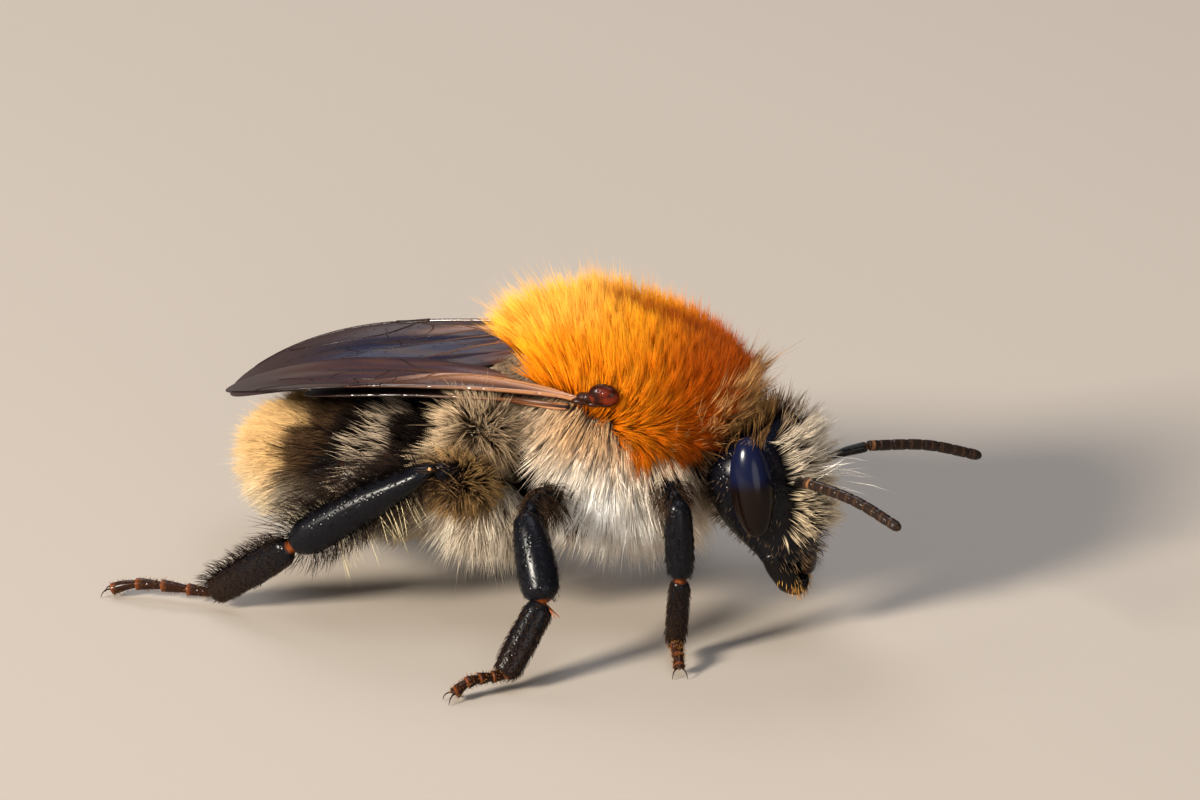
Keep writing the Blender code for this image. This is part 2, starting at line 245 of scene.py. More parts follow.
def makeRelief():
    # shell relief: pinpoint pits from a cell pattern over a slow swell; puts out a
    # height and a mask that is 0 in the pits
    group = bpy.data.node_groups.new("shellRelief", "ShaderNodeTree")
    for name, way, value in (("Pits", "INPUT", 9000.0), ("Pit Share", "INPUT", 0.35),
                             ("Swell", "INPUT", 900.0), ("Height", "OUTPUT", 0.0),
                             ("Mask", "OUTPUT", 0.0)):
        socket = group.interface.new_socket(name=name, in_out=way, socket_type="NodeSocketFloat")
        socket.default_value = value
    start, end, place, cells, swell, rim, both = (group.nodes.new(kind) for kind in (
        "NodeGroupInput", "NodeGroupOutput", "ShaderNodeTexCoord", "ShaderNodeTexVoronoi",
        "ShaderNodeTexNoise", "ShaderNodeMapRange", "ShaderNodeMath"))
    both.operation = "MULTIPLY_ADD"
    both.inputs[1].default_value = 0.6
    for out, into in ((place.outputs["Object"], cells.inputs["Vector"]),
                      (place.outputs["Object"], swell.inputs["Vector"]),
                      (start.outputs["Pits"], cells.inputs["Scale"]),
                      (start.outputs["Swell"], swell.inputs["Scale"]),
                      (cells.outputs["Distance"], rim.inputs["Value"]),
                      (start.outputs["Pit Share"], rim.inputs["From Max"]),
                      (swell.outputs["Fac"], both.inputs[0]),
                      (rim.outputs["Result"], both.inputs[2]),
                      (both.outputs["Value"], end.inputs["Height"]),
                      (rim.outputs["Result"], end.inputs["Mask"])):
        group.links.new(out, into)
    return group


relief = makeRelief()


def tintedMaterial(name, roughness, pits=None, bump=(0.3, 1e-5), pitDark=0.5, **values):
    # Principled with its base colour from the piece's tint attribute; pits are
    # (scale, share, swell) of the relief, which dims the colour in the pits and bumps
    paint = bpy.data.materials.new(name)
    paint.use_nodes = True
    nodes, link = paint.node_tree.nodes, paint.node_tree.links.new
    principled = nodes["Principled BSDF"]
    principled.inputs["Roughness"].default_value = roughness
    for socket, value in values.items():
        principled.inputs[socket.replace("_", " ")].default_value = value
    tint = nodes.new("ShaderNodeAttribute")
    tint.attribute_name = "tint"
    source = tint.outputs["Color"]
    if pits:
        rough, height, dim, mix = (nodes.new("ShaderNode" + kind)
                                   for kind in ("Group", "Bump", "MapRange", "Mix"))
        rough.node_tree = relief
        for socket, value in zip(("Pits", "Pit Share", "Swell"), pits):
            rough.inputs[socket].default_value = value
        height.inputs["Strength"].default_value = bump[0]
        height.inputs["Distance"].default_value = bump[1]
        dim.inputs["To Min"].default_value = pitDark
        mix.data_type = "RGBA"
        mix.blend_type = "MULTIPLY"
        mix.inputs["Factor"].default_value = 1.0
        link(rough.outputs["Height"], height.inputs["Height"])
        link(height.outputs["Normal"], principled.inputs["Normal"])
        link(rough.outputs["Mask"], dim.inputs["Value"])
        link(source, mix.inputs[6])
        link(dim.outputs["Result"], mix.inputs[7])
        source = mix.outputs[2]
    link(source, principled.inputs["Base Color"])
    return paint


looks = dict(
    shell=tintedMaterial("shellBlack", 0.23, (7000.0, 0.42, 1200.0), (0.8, 2.5e-5), 0.3,
                         Specular_IOR_Level=0.14),
    leg=tintedMaterial("legShell", 0.24, (8500.0, 0.4, 1500.0), (0.6, 1.8e-5), 0.5,
                       Specular_IOR_Level=0.12),
    eye=tintedMaterial("eyeFacets", 0.19, (36000.0, 0.6, 800.0), (0.12, 3e-6), 0.8,
                       Specular_IOR_Level=0.12, Coat_Weight=0.05, Coat_Roughness=0.06),
    hair=tintedMaterial("hair", 0.45, None, Specular_IOR_Level=0.06),
    membrane=tintedMaterial("wingMembrane", 0.3, (5200.0, 0.3, 700.0), (0.4, 2.5e-5), 0.85,
                            Alpha=0.93, Specular_IOR_Level=0.1),
    vein=tintedMaterial("wingVein", 0.2, (4000.0, 0.4, 1500.0), (0.6, 2.5e-5), 0.5,
                        Specular_IOR_Level=0.8))


def solidPiece(name, parts, look, tint, nodes=()):
    # joined closed shells; tint is a colour or a function that gives one colour per point
    points, faceSets = joined(parts)
    tints = tint(points) if callable(tint) else shades(points, tint)
    piece = newPiece(name, points, faceSets, looks[look], tints)
    if nodes:
        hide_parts(*nodes)
    return piece


print("tools and materials ready")


def ringedSurface(stations, square=2.0):
    # rings across x through the station rows (x, mid z, half width, rise, drop), seam below
    def surface(u, v):
        # superellipse of the row at u, with its own size above and below the middle
        row = through(stations, u)
        up, side = bent(2 * pi * v, square)
        tall = np.where(up < 0, row[..., 3], row[..., 4])
        return np.stack([row[..., 0], -row[..., 2] * side, row[..., 1] - tall * up], axis=-1)

    return surface


# the line is the orange's lower edge: places along x and the heights there
thorax = dict(stations=((-3.42, 6.2, 0.05, 0.05, 0.05), (-3.3, 6.1, 0.95, 0.75, 1.3),
                        (-2.75, 6.0, 1.6, 1.4, 2.25), (-1.8, 5.95, 2.1, 2.05, 2.75),
                        (-0.6, 5.95, 2.38, 2.45, 2.95), (0.8, 5.95, 2.42, 2.5, 2.95),
                        (2.0, 5.95, 2.15, 2.25, 2.6), (2.8, 6.0, 1.65, 1.7, 2.0),
                        (3.3, 6.1, 0.95, 1.0, 1.2), (3.42, 6.1, 0.05, 0.05, 0.05)),
              line=((-3.2, -0.5, 0.3, 1.0, 1.8, 2.6, 3.3), (7.35, 7.15, 6.9, 6.35, 5.9, 5.6, 5.3)),
              crownSkin=srgb(70, 26, 6), flankSkin=srgb(26, 20, 17), neckSkin=srgb(14, 11, 11))
thoraxSurface = ringedSurface(thorax["stations"], 2.1)


def crownShare(p):
    # 1 in the orange, 0 below its uneven lower edge, which falls towards the front
    x, y, z = p.T
    line = np.interp(x, *thorax["line"])
    corner = ease(-0.9, -2.3, x) * (0.45 + 0.55 * ease(0.2, 1.0, abs(y)))
    uneven = 0.2 * ripple(p, 1.0, 3) + 0.12 * ripple(p, 0.4, 5) + 0.1 * ripple(p, 0.22, 7)
    edge = 0.34 - 0.2 * corner
    return ease(-edge, edge, z - line - 0.62 * corner + uneven * (1 - 0.8 * corner))


def neckShare(p):
    # 1 on the front face of the thorax, behind the head
    x, y, z = p.T
    return ease(2.2, 2.9, x - 0.45 * ease(5.6, 7.4, z))


def thoraxTint(p):
    # orange skin under the crown, nearly black at the neck
    return shades(p, thorax["flankSkin"], (thorax["crownSkin"], crownShare(p)),
                  (thorax["neckSkin"], neckShare(p) * (1 - 0.6 * crownShare(p))))


# rows as the thorax's; plates are the places where one plate gives way to the next
abdomen = dict(stations=((-3.2, 4.6, 0.05, 0.05, 0.05), (-3.4, 4.5, 0.75, 0.5, 0.65),
                         (-3.9, 4.3, 1.5, 0.95, 1.3), (-4.8, 4.1, 2.4, 1.3, 1.85),
                         (-6.0, 3.9, 2.85, 1.5, 2.05), (-7.2, 3.75, 2.85, 1.6, 1.95),
                         (-8.4, 3.6, 2.5, 1.55, 1.75), (-9.4, 3.5, 1.9, 1.32, 1.4),
                         (-10.15, 3.45, 1.25, 0.95, 1.0), (-10.6, 3.42, 0.55, 0.45, 0.5),
                         (-10.7, 3.4, 0.05, 0.05, 0.05)),
               plates=(-3.1, -4.9, -6.15, -7.4, -8.6, -9.7, -10.8), step=0.05,
               shell=srgb(13, 10, 10), rim=srgb(58, 22, 10))


def plateShare(x):
    # which plate an x lies in and how far along it, from 0 at its front to 1
    edges = np.array(abdomen["plates"])
    plate = np.clip(np.searchsorted(-edges, -x) - 1, 0, len(edges) - 2)
    return plate, np.clip((edges[plate] - x) / (edges[plate] - edges[plate + 1]), 0, 1)


def abdomenSurface(u, v):
    # each plate swells towards its hind edge and steps down to the next
    base = ringedSurface(abdomen["stations"])(u, v)
    plate, share = plateShare(base[..., 0])
    swell = 1 + abdomen["step"] * (share - 0.5) * (1 - ease(0.94, 1.0, share))
    middle = np.array([0.0, 0.0, 3.8])
    return base * (1, 0, 0) + middle + (base * (0, 1, 1) - middle) * swell[..., None]


def abdomenTint(p):
    # each plate's hind edge reddens by an ease along the plate
    plate, share = plateShare(p[:, 0])
    return shades(p, abdomen["shell"], (abdomen["rim"], ease(0.8, 1.0, share) * 0.6))


# rows of the face: (height, half width, depth in front, depth behind)
head = dict(centre=(4.68, 0.0, 4.78), lean=radians(9.0), roll=radians(7.0),
            stations=((1.5, 0.05, 0.05, 0.05), (1.42, 0.75, 0.5, 0.75), (1.15, 1.4, 0.82, 1.28),
                      (0.5, 1.82, 1.05, 1.6), (-0.3, 1.9, 1.12, 1.6), (-1.1, 1.72, 1.18, 1.32),
                      (-1.7, 1.42, 1.15, 0.9), (-2.2, 1.12, 1.0, 0.5), (-2.6, 0.85, 0.78, 0.25),
                      (-2.78, 0.05, 0.05, 0.05)),
            squareness=2.35, nape=3.2, clypeus=0.2, clypeusSpot=(-1.75, 0.0, 0.75, 0.75),
            socket=0.16, socketSpot=(-0.2, 0.52, 0.26, 0.26),
            # crown is the head's black with a painted blue reflection of the sky on its top
            shell=srgb(12, 11, 16), crown=srgb(9, 10, 23), mouth=srgb(52, 20, 9))
leanUp = np.array([-sin(head["lean"]), 0, cos(head["lean"])])
faceFront = np.array([cos(head["lean"]), 0, sin(head["lean"])])
faceUp = cos(head["roll"]) * leanUp + sin(head["roll"]) * yAxis
faceSide = cos(head["roll"]) * yAxis - sin(head["roll"]) * leanUp


def faceTo(h, f, s):
    # a place on the head from its height, forward and sideways measures
    h, f, s = (np.asarray(q, float)[..., None] for q in (h, f, s))
    return np.array(head["centre"]) + faceUp * h + faceFront * f + faceSide * s


def faceFrom(points):
    # those three measures of points
    away = points - np.array(head["centre"])
    return away @ faceUp, away @ faceFront, away @ faceSide


def headSurface(u, v):
    # superellipse rings down the face; the clypeus swells and the sockets dip, each by
    # exp(-squared distance)
    row = through(head["stations"], u)
    back = np.cos(2 * pi * v) > 0
    c, w = np.where(back, bent(2 * pi * v, head["nape"]), bent(2 * pi * v, head["squareness"]))
    f = -np.where(c < 0, row[..., 2], row[..., 3]) * c
    w, h = row[..., 1] * w, row[..., 0]
    bulge = np.exp(-apart(h, w, head["clypeusSpot"])) * head["clypeus"]
    dip = np.exp(-apart(h, np.abs(w), head["socketSpot"])) * head["socket"]
    return faceTo(h, f + (bulge - dip) * ease(0.2, 0.7, f), w)


def headTintAndSkyReflection(points):
    # a painted blue-black reflection of the sky above, black, then browner towards the mouth
    h, f, s = faceFrom(points)
    return shades(points, head["shell"], (head["crown"], ease(0.3, 1.2, h)),
                  (head["mouth"], ease(-2.6, -2.9, h) * 0.8))


solidPiece("thoraxShell", [shellMesh(thoraxSurface, 90, 96)], "shell", thoraxTint, ["thorax"])
solidPiece("abdomenShell", [shellMesh(abdomenSurface, 170, 96)], "shell", abdomenTint,
           ["abdomen_%d" % k for k in range(1, 7)])
neckForm = limbSurface(((2.6, 0, 5.5), (3.2, 0, 5.3), (3.9, 0, 5.2)), 0.8, 0.7, flat=yAxis)
waistForm = limbSurface(((-2.8, 0, 5.0), (-3.3, 0, 4.7), (-3.9, 0, 4.5)), 0.6, 0.7, flat=yAxis)
solidPiece("headShell", [shellMesh(headSurface, 110, 112)], "shell", headTintAndSkyReflection, ["head"])
solidPiece("neck", [shellMesh(neckForm, 16, 28), shellMesh(waistForm, 16, 28)], "shell",
           srgb(16, 12, 11))
print("trunk, abdomen and head shells made")

# the eyes' top and foot colours are painted reflections of the sky above and of the ground below
eyes = dict(place=(-0.06, 0.0, 1.7), half=(0.62, 0.52, 1.46), power=2.15,
            top=srgb(14, 18, 40), foot=srgb(14, 6, 4))


def paintedReflectionEyeTint(points):
    # painted reflections: reddish black at the foot for the ground, blue-black from mid height up for
    # the sky
    h, f, s = faceFrom(points)
    return shades(points, eyes["foot"], (eyes["top"], ease(-0.15, 0.35, h)))


for side, sign in sides.items():
    middle = faceTo(*(eyes["place"] * np.array([1, 1, sign])))
    ball = ballSurface(middle, eyes["half"], (faceFront, faceSide, faceUp), eyes["power"])
    solidPiece("compoundEye_" + side, [shellMesh(ball, 56, 72, 0)], "eye", paintedReflectionEyeTint,
               ["eye_" + side])

ocelli = dict(places=((1.33, 0.42, 0.0), (1.37, 0.18, 0.3), (1.37, 0.18, -0.3)), radius=0.12)
solidPiece("ocelli", [shellMesh(ballSurface(faceTo(*spot), (ocelli["radius"],) * 3), 12, 18, 0)
                      for spot in ocelli["places"]], "eye", srgb(24, 16, 12))

jaws = dict(path=((-2.1, 0.0, 0.95), (-2.6, 0.16, 0.82), (-3.05, 0.3, 0.55),
                  (-3.35, 0.34, 0.32), (-3.52, 0.31, 0.14)),
            broad=0.38, thin=0.2, dark=srgb(14, 11, 11), tip=srgb(96, 52, 20))
jawForms = {}
for side, sign in sides.items():
    path = np.array([faceTo(h, f, sign * s) for h, f, s in jaws["path"]])
    jawForms[side] = limbSurface(path, jaws["broad"], jaws["thin"],
                                 smoothShares(((0, 0.7, 1.2), (0.35, 0.9, 1.1), (0.7, 0.92, 0.9),
                                               (1, 0.8, 0.7))), (0.1, 0.09), 2.3, yAxis)

    def jawTint(points):
        # brown below an uneven height at the tips
        h, f, s = faceFrom(points)
        share = ease(-3.3, -3.7, h + 0.1 * ripple(points, 0.5, 4)) * 0.8
        return shades(points, jaws["dark"], (jaws["tip"], share))

    solidPiece("jaw_" + side, [shellMesh(jawForms[side], 44, 36)], "leg", jawTint,
               ["mandible_" + side])

lip = dict(path=((-2.3, 0.84, 0), (-2.65, 0.88, 0), (-3.05, 0.78, 0)), thick=0.17, half=0.46,
           colour=srgb(34, 16, 9))
lipForm = limbSurface([faceTo(*spot) for spot in lip["path"]], lip["thick"], lip["half"],
                      ((0, 1, 1), (1, 1, 0.75)), (0.15, 0.2), 2.6, yAxis)
solidPiece("labrum", [shellMesh(lipForm, 24, 36)], "leg", lip["colour"])

feelers = dict(
    right=((5.45, -0.55, 4.55), (5.95, -1.45, 5.15), (6.5, -2.4, 5.55),
           (6.66, -2.52, 5.6), (8.2, -3.4, 5.62), (9.68, -4.16, 5.3)),
    left=((5.45, 0.55, 4.55), (6.25, 1.1, 5.0), (7.1, 1.6, 5.2),
          (7.28, 1.76, 5.18), (8.5, 2.9, 4.9), (9.83, 3.94, 4.32)),
    stemRadius=0.14, lashRadius=0.155, rings=11, notch=0.13,
    dark=srgb(20, 15, 14), lash=srgb(34, 24, 19), ring=srgb(80, 55, 38), joint=srgb(132, 88, 54))
for side in sides:
    spots = np.array(feelers[side])
    stem = limbSurface(spots[:3], feelers["stemRadius"], feelers["stemRadius"],
                       smoothShares(((0, 0.9, 0.9), (0.2, 0.75, 0.75), (0.8, 1.05, 1.05),
                                     (1, 1.1, 1.1))), (0.08, 0.06))

    def stemTint(p):
        # paler within 0.2 mm of the joint with the lash
        near = np.linalg.norm(p - spots[2], axis=1)
        return shades(p, feelers["dark"], (feelers["joint"], ease(0.2, 0.1, near) * 0.45))

    solidPiece("antennaStem_" + side, [shellMesh(stem, 44, 20)], "leg", stemTint,
               ["scape_" + side])
    # the lash narrows at each ring by notch x exp(-(distance / width)^2)
    place = np.linspace(0, 1, 331)
    cell = place * feelers["rings"]
    share = 1 - feelers["notch"] * np.exp(-((cell - np.round(cell)) / 0.08) ** 2)
    share *= np.where(place < 0.05, 0.7, 1.0) * (0.9 + 0.1 * ease(0.05, 0.3, place))
    form = limbSurface(through(spots[2:], np.linspace(0, 1, 9)), feelers["lashRadius"],
                       feelers["lashRadius"], np.stack([place, share, share], axis=1), (0.02, 0.05))

    def lashTint(p):
        # rings of colour at each joint as exp(-(distance / width)^2), and a pale first joint
        reach = spots[5] - spots[2]
        along = (p - spots[2]) @ unit(reach) / np.linalg.norm(reach)
        cell = along * feelers["rings"]
        ring = np.exp(-((cell - np.round(cell)) / 0.09) ** 2)
        pale = ease(0.02, 0.01, np.abs(along - 0.03))
        return shades(p, feelers["lash"], (feelers["ring"], ring * 0.5), (feelers["joint"], pale * 0.7))

    solidPiece("antennaLash_" + side, [shellMesh(form, 260, 20, 0)], "leg", lashTint,
               ["flagellum_" + side])
print("eyes, jaws and antennae made")


def nodeEnds(node):
    # the two ends of a long solid: the means of its points near each end of its main axis
    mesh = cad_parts[node].data
    p = np.empty(len(mesh.vertices) * 3)
    mesh.vertices.foreach_get("co", p)
    p = (p.reshape(-1, 3) - beeOrigin) / mm
    axis = np.linalg.svd(p - p.mean(0), full_matrices=False)[2][0]
    along = (p - p.mean(0)) @ axis
    low, high = along.min(), along.max()
    reach = 0.06 * (high - low)
    return p[along < low + reach].mean(0), p[along > high - reach].mean(0)


# half sizes (broad, thin) in millimetres; outline rows are (place, broad share, thin share)
legs = dict(
    femur=dict(front=(0.33, 0.28), mid=(0.33, 0.3), hind=(0.42, 0.33)),
    tibia=dict(front=(0.41, 0.36), mid=(0.58, 0.45), hind=(0.55, 0.44)),
    blade=dict(front=(0.3, 0.24), mid=(0.42, 0.28), hind=(0.47, 0.28)),
    tibiaLine=dict(front=((0, 0.7, 0.8), (0.3, 0.95, 1), (0.7, 1, 1), (1, 0.85, 0.85)),
                   mid=((0, 0.55, 0.7), (0.25, 0.85, 0.95), (0.6, 1.02, 1), (0.85, 0.95, 0.95),
                        (1, 0.72, 0.85)),
                   hind=((0, 0.42, 0.9), (0.2, 0.66, 1), (0.45, 0.92, 1), (0.7, 1.04, 1),
                         (0.88, 1, 0.9), (1, 0.8, 0.8))),
    bladeLine=((0, 0.66, 0.9), (0.15, 0.95, 1), (0.5, 1, 1), (0.85, 0.92, 1), (1, 0.72, 0.9)),
    kneeDrop=dict(front=0.12, mid=0.2, hind=0.0), tarsusRadius=0.18, clawRadius=0.035, lift=0.12,
    hipSize=(0.8, 0.6, 0.75), footCells=4,
    # dark is black with a slight blue cast, a painted reflection of the sky
    dark=srgb(12, 12, 16), brown=srgb(30, 18, 12), rim=srgb(152, 80, 36), foot=srgb(38, 20, 12),
    knee=srgb(206, 158, 108))


def rimTint(near, far, base, tight=0.14):
    # base colour with an orange rim where points come near either place
    def tint(points):
        # share = ease of the gap to the nearest place
        gap = np.min([np.linalg.norm(points - spot, axis=1) for spot in near], axis=0)
        colour = base(points)
        return blendTo(colour, legs["rim"], ease(far + tight, far, gap) * 0.85)

    return tint


def limbChain(name):
    # the two ends of each solid of one leg from the trunk outwards, nearer end first
    here, chain = np.array([0.0, 0.0, 4.0]), []
    for part in ("femur", "tibia", "basitarsus", "tarsus"):
        a, b = nodeEnds(part + "_" + name)
        if np.linalg.norm(a - here) > np.linalg.norm(b - here):
            a, b = b, a
        chain += [a, b]
        here = b
    return chain


def footPath(start, end):
    # straight line raised by a sine and by a second one that leans to the claws
    t = np.linspace(0, 1, 9)[:, None]
    path = start + (end - start) * t
    path[:, 2] += legs["lift"] * (np.sin(pi * t[:, 0]) + 0.9 * np.sin(pi * t[:, 0] ** 2.5))
    return path


def clawMeshes(end, way):
    # two hooks that part from the foot's end and bend down to the floor
    r, meshes = legs["clawRadius"], []
    base = end - way * 0.08
    for twist in (-1, 1):
        out = unit(way * 0.85 + np.cross(way, zAxis) * twist * 0.55)
        low = np.append((base + out * 0.4)[:2], r * 0.5)
        hook = [base, base + out * 0.2 + zAxis * 0.03, base + out * 0.34 - zAxis * 0.06, low]
        form = limbSurface(hook, r, r, ((0, 1, 1), (1, 0.2, 0.2)), (0.05, 0.05))
        meshes.append(shellMesh(form, 18, 8))
    return meshes


def spurMeshes(ankle, down, blade, forward, aside):
    # two straight spurs from an ankle, parted sideways, that taper to 0.15
    meshes = []
    for twist in (-1, 1):
        out = unit(blade + xAxis * forward + yAxis * (aside * twist))
        spur = [ankle + down * 0.02, ankle + out * 0.35, ankle + out * 0.66]
        form = limbSurface(spur, 0.045, 0.045, ((0, 1, 1), (1, 0.15, 0.15)), (0.06, 0.04))
        meshes.append(shellMesh(form, 14, 10))
    return meshes


legForms = {}
for pair in ("front", "mid", "hind"):
    for side, sign in sides.items():
        name = pair + "_" + side
        hip, knee, kneeLow, ankle, ankleLow, heel, heelLow, toe = limbChain(name)
        ankleAt, heelAt = (ankle + ankleLow) / 2, (heel + heelLow) / 2
        kneeAt = (knee + kneeLow) / 2
        kneeAt = kneeAt + (ankleAt - kneeAt) * legs["kneeDrop"][pair]
        down, blade = unit(ankleAt - kneeAt), unit(heelAt - ankleAt)
        coxa = np.array([hip[0] * 0.85, hip[1] * 0.6, hip[2] - 0.6])
        trunk = np.array([coxa[0] * 0.9, sign * 0.9, coxa[2] + 0.5])
        broad, thin = legs["femur"][pair]
        flat = None if pair == "hind" else yAxis
        femurForm = limbSurface([trunk, coxa, hip * 0.6 + knee * 0.4 + zAxis * 0.1, kneeAt],
                                broad, thin, smoothShares(((0, 1.2, 1.6), (0.3, 1.05, 1.4),
                                                           (0.5, 1, 1.1), (0.75, 1, 1),
                                                           (1, 0.7, 0.85))), (0.1, 0.08))
        broad, thin = legs["tibia"][pair]
        middle = (kneeAt + ankleAt) / 2 + zAxis * 0.05
        tibiaForm = limbSurface([kneeAt - down * 0.12, middle, ankleAt + down * 0.06], broad, thin,
                                smoothShares(legs["tibiaLine"][pair]), (0.14, 0.15), 2.0, flat)
        broad, thin = legs["blade"][pair]
        bladeForm = limbSurface([ankleAt - blade * 0.02, (ankleAt + heelAt) / 2,
                                 heelAt + blade * 0.04], broad, thin,
                                smoothShares(legs["bladeLine"]), (0.1, 0.1), 2.1, flat)
        hipForm = ballSurface(coxa + np.array([0, 0, 0.15]), legs["hipSize"])

        def plain(points):
            # one dark colour: black with a slight blue cast, a painted sky reflection
            return shades(points, legs["dark"])

        def bladeTint(points):
            # browner from the ankle's height down to the floor
            share = ease(ankleAt[2], 0.0, points[:, 2]) * 0.9
            return shades(points, legs["dark"], (legs["brown"], share))

        solidPiece("thigh_" + name, [shellMesh(femurForm, 60, 32), shellMesh(hipForm, 20, 28, 0)],
                   "leg", plain, ["femur_" + name])
        solidPiece("shin_" + name, [shellMesh(tibiaForm, 64, 44)], "leg",
                   rimTint([ankleAt + down * 0.06], 0.12, plain, 0.2), ["tibia_" + name])
        solidPiece("blade_" + name, [shellMesh(bladeForm, 56, 36)], "leg",
                   rimTint([ankleAt - blade * 0.04, heelAt + blade * 0.06], 0.12, bladeTint),
                   ["basitarsus_" + name])
        # four small joints, each a cone that flares to its far end, arched to the claws
        r = legs["tarsusRadius"]
        start = heelAt - blade * 0.05
        start[2] = max(start[2], r + 0.02)
        flatWay = unit((toe - heelAt) * (1, 1, 0))
        end = toe + flatWay * 0.05
        end[2] = r + 0.05
        place = np.linspace(0, 1, 161)
        cell = place * legs["footCells"]
        flare = 0.6 + 0.42 * (cell - np.floor(cell)) ** 0.8
        footForm = limbSurface(footPath(start, end), r, r, np.stack([place, flare, flare], axis=1),
                               (0.01, 0.02))

        def footTint(points):
            # each small joint reddens by an ease towards its far end
            along = np.clip((points - start) @ unit(end - start) / np.linalg.norm(end - start), 0, 1)
            cell = along * legs["footCells"]
            rim = ease(0.72, 1.0, cell - np.floor(cell))
            return shades(points, legs["foot"], (legs["rim"], rim * 0.4))

        solidPiece("foot_" + name, [shellMesh(footForm, 150, 20, 0)] + clawMeshes(end, flatWay),
                   "leg", footTint, ["tarsus_" + name])
        legForms[name] = dict(femur=femurForm, tibia=tibiaForm, blade=bladeForm, foot=footForm,
                              knee=kneeAt, ankle=ankleAt, heel=heelAt)
        # a pale knob at the outside of the hind knee and spurs at the other ankles
        if pair == "hind":
            knob = ballSurface(kneeAt + yAxis * sign * thin + zAxis * 0.06, (0.055, 0.04, 0.055))
            solidPiece("kneeKnob_" + name, [shellMesh(knob, 10, 14, 0)], "leg", legs["knee"])
        if pair != "front":
            forward = 1.5 if pair == "mid" else -0.2
            spurs = spurMeshes(ankleAt, down, blade, forward, 0.25 * sign)
            solidPiece("spurs_" + name, spurs, "leg", legs["rim"])
print("legs made")

hindShape = dict(length=8.2, ridge=0.0, tip=0.45, cells=False, sheen=0.3, smokeAndPaintedLight=srgb(44, 30, 31))
# smoke is each wing's smoky colour with painted light and shade: lighter and browner on the near
# forewing, darker on the far one
wings = dict(
    forewing_right=dict(root=(-0.1, -2.72, 7.38), out=0.05, length=11.0, chord=4.0, drop=0.1,
                        fall=0.12, sag=1.0, dip=0.1, ridge=0.42, tip=0.4, cells=True, sheen=0.55,
                        smokeAndPaintedLight=srgb(74, 46, 36)),
    forewing_left=dict(root=(-0.1, 2.72, 7.45), out=0.012, length=12.0, chord=3.7, drop=0.5,
                       fall=0.14, sag=1.2, dip=0.75, ridge=0.15, tip=0.4, cells=True, sheen=0.85,
                       smokeAndPaintedLight=srgb(44, 31, 32)),
    hindwing_right=dict(hindShape, root=(-0.5, -2.6, 7.05), out=0.02, chord=2.3, drop=0.2,
                        fall=0.15, sag=0.45, dip=0.1),
    hindwing_left=dict(hindShape, root=(-0.5, 2.6, 7.05), out=0.0, chord=2.1, drop=0.7,
                       fall=0.14, sag=0.4, dip=0.2),
    sheet=0.03, pleat=0.055,
    # indigo is a painted reflection; gap is painted shade beside the front ridge, mauve a painted
    # highlight on it
    base=srgb(98, 56, 29), tip=srgb(48, 35, 33), paintedIndigoSheen=srgb(19, 21, 42),
    gap=srgb(40, 24, 18), paintedRidgeHighlight=srgb(172, 132, 110),
    vein=srgb(26, 15, 13), gold=srgb(150, 100, 62))
# veins as (place along, share of chord) runs, each with a half thickness in millimetres
foreVeins = (
    (((0.0, 0.1), (0.15, 0.035), (0.35, 0.02), (0.57, 0.015)), 0.075),
    (((0.0, 0.3), (0.12, 0.2), (0.32, 0.18), (0.5, 0.1), (0.57, 0.03)), 0.05),
    (((0.53, 0.02), (0.58, 0.03), (0.62, 0.015)), 0.09),
    (((0.62, 0.01), (0.75, 0.004), (0.88, 0.003), (0.97, 0.02)), 0.045),
    (((0.56, 0.06), (0.64, 0.17), (0.76, 0.2), (0.86, 0.14), (0.89, 0.02)), 0.04),
    (((0.0, 0.55), (0.12, 0.3), (0.27, 0.26), (0.36, 0.27)), 0.055),
    (((0.36, 0.27), (0.42, 0.16), (0.47, 0.05)), 0.04),
    (((0.3, 0.26), (0.42, 0.38), (0.56, 0.46), (0.64, 0.47)), 0.04),
    (((0.39, 0.22), (0.5, 0.27), (0.64, 0.3), (0.76, 0.34), (0.87, 0.4)), 0.038),
    (((0.52, 0.08), (0.51, 0.17), (0.53, 0.275)), 0.032),
    (((0.63, 0.16), (0.62, 0.22), (0.645, 0.3)), 0.032),
    (((0.74, 0.2), (0.75, 0.27), (0.77, 0.345)), 0.032),
    (((0.59, 0.29), (0.57, 0.37), (0.56, 0.46)), 0.032),
    (((0.71, 0.32), (0.7, 0.41), (0.66, 0.47)), 0.032),
    (((0.64, 0.47), (0.72, 0.55), (0.76, 0.66)), 0.028),
    (((0.31, 0.27), (0.3, 0.38), (0.33, 0.5)), 0.032),
    (((0.0, 0.8), (0.15, 0.52), (0.33, 0.5), (0.5, 0.66), (0.6, 0.86)), 0.042),
)
hindVeins = (
    (((0.0, 0.15), (0.3, 0.04), (0.6, 0.02), (0.9, 0.03)), 0.06),
    (((0.0, 0.4), (0.25, 0.3), (0.5, 0.34), (0.8, 0.4)), 0.036),
    (((0.28, 0.3), (0.4, 0.16), (0.5, 0.05)), 0.03),
    (((0.0, 0.6), (0.3, 0.6), (0.55, 0.7)), 0.032),
)


def chordShare(u):
    # how far the chord has grown at a share of the wing's length
    return 0.13 + 0.87 * np.sin(pi / 2 * np.clip(u / 0.68, 0, 1)) ** 1.15


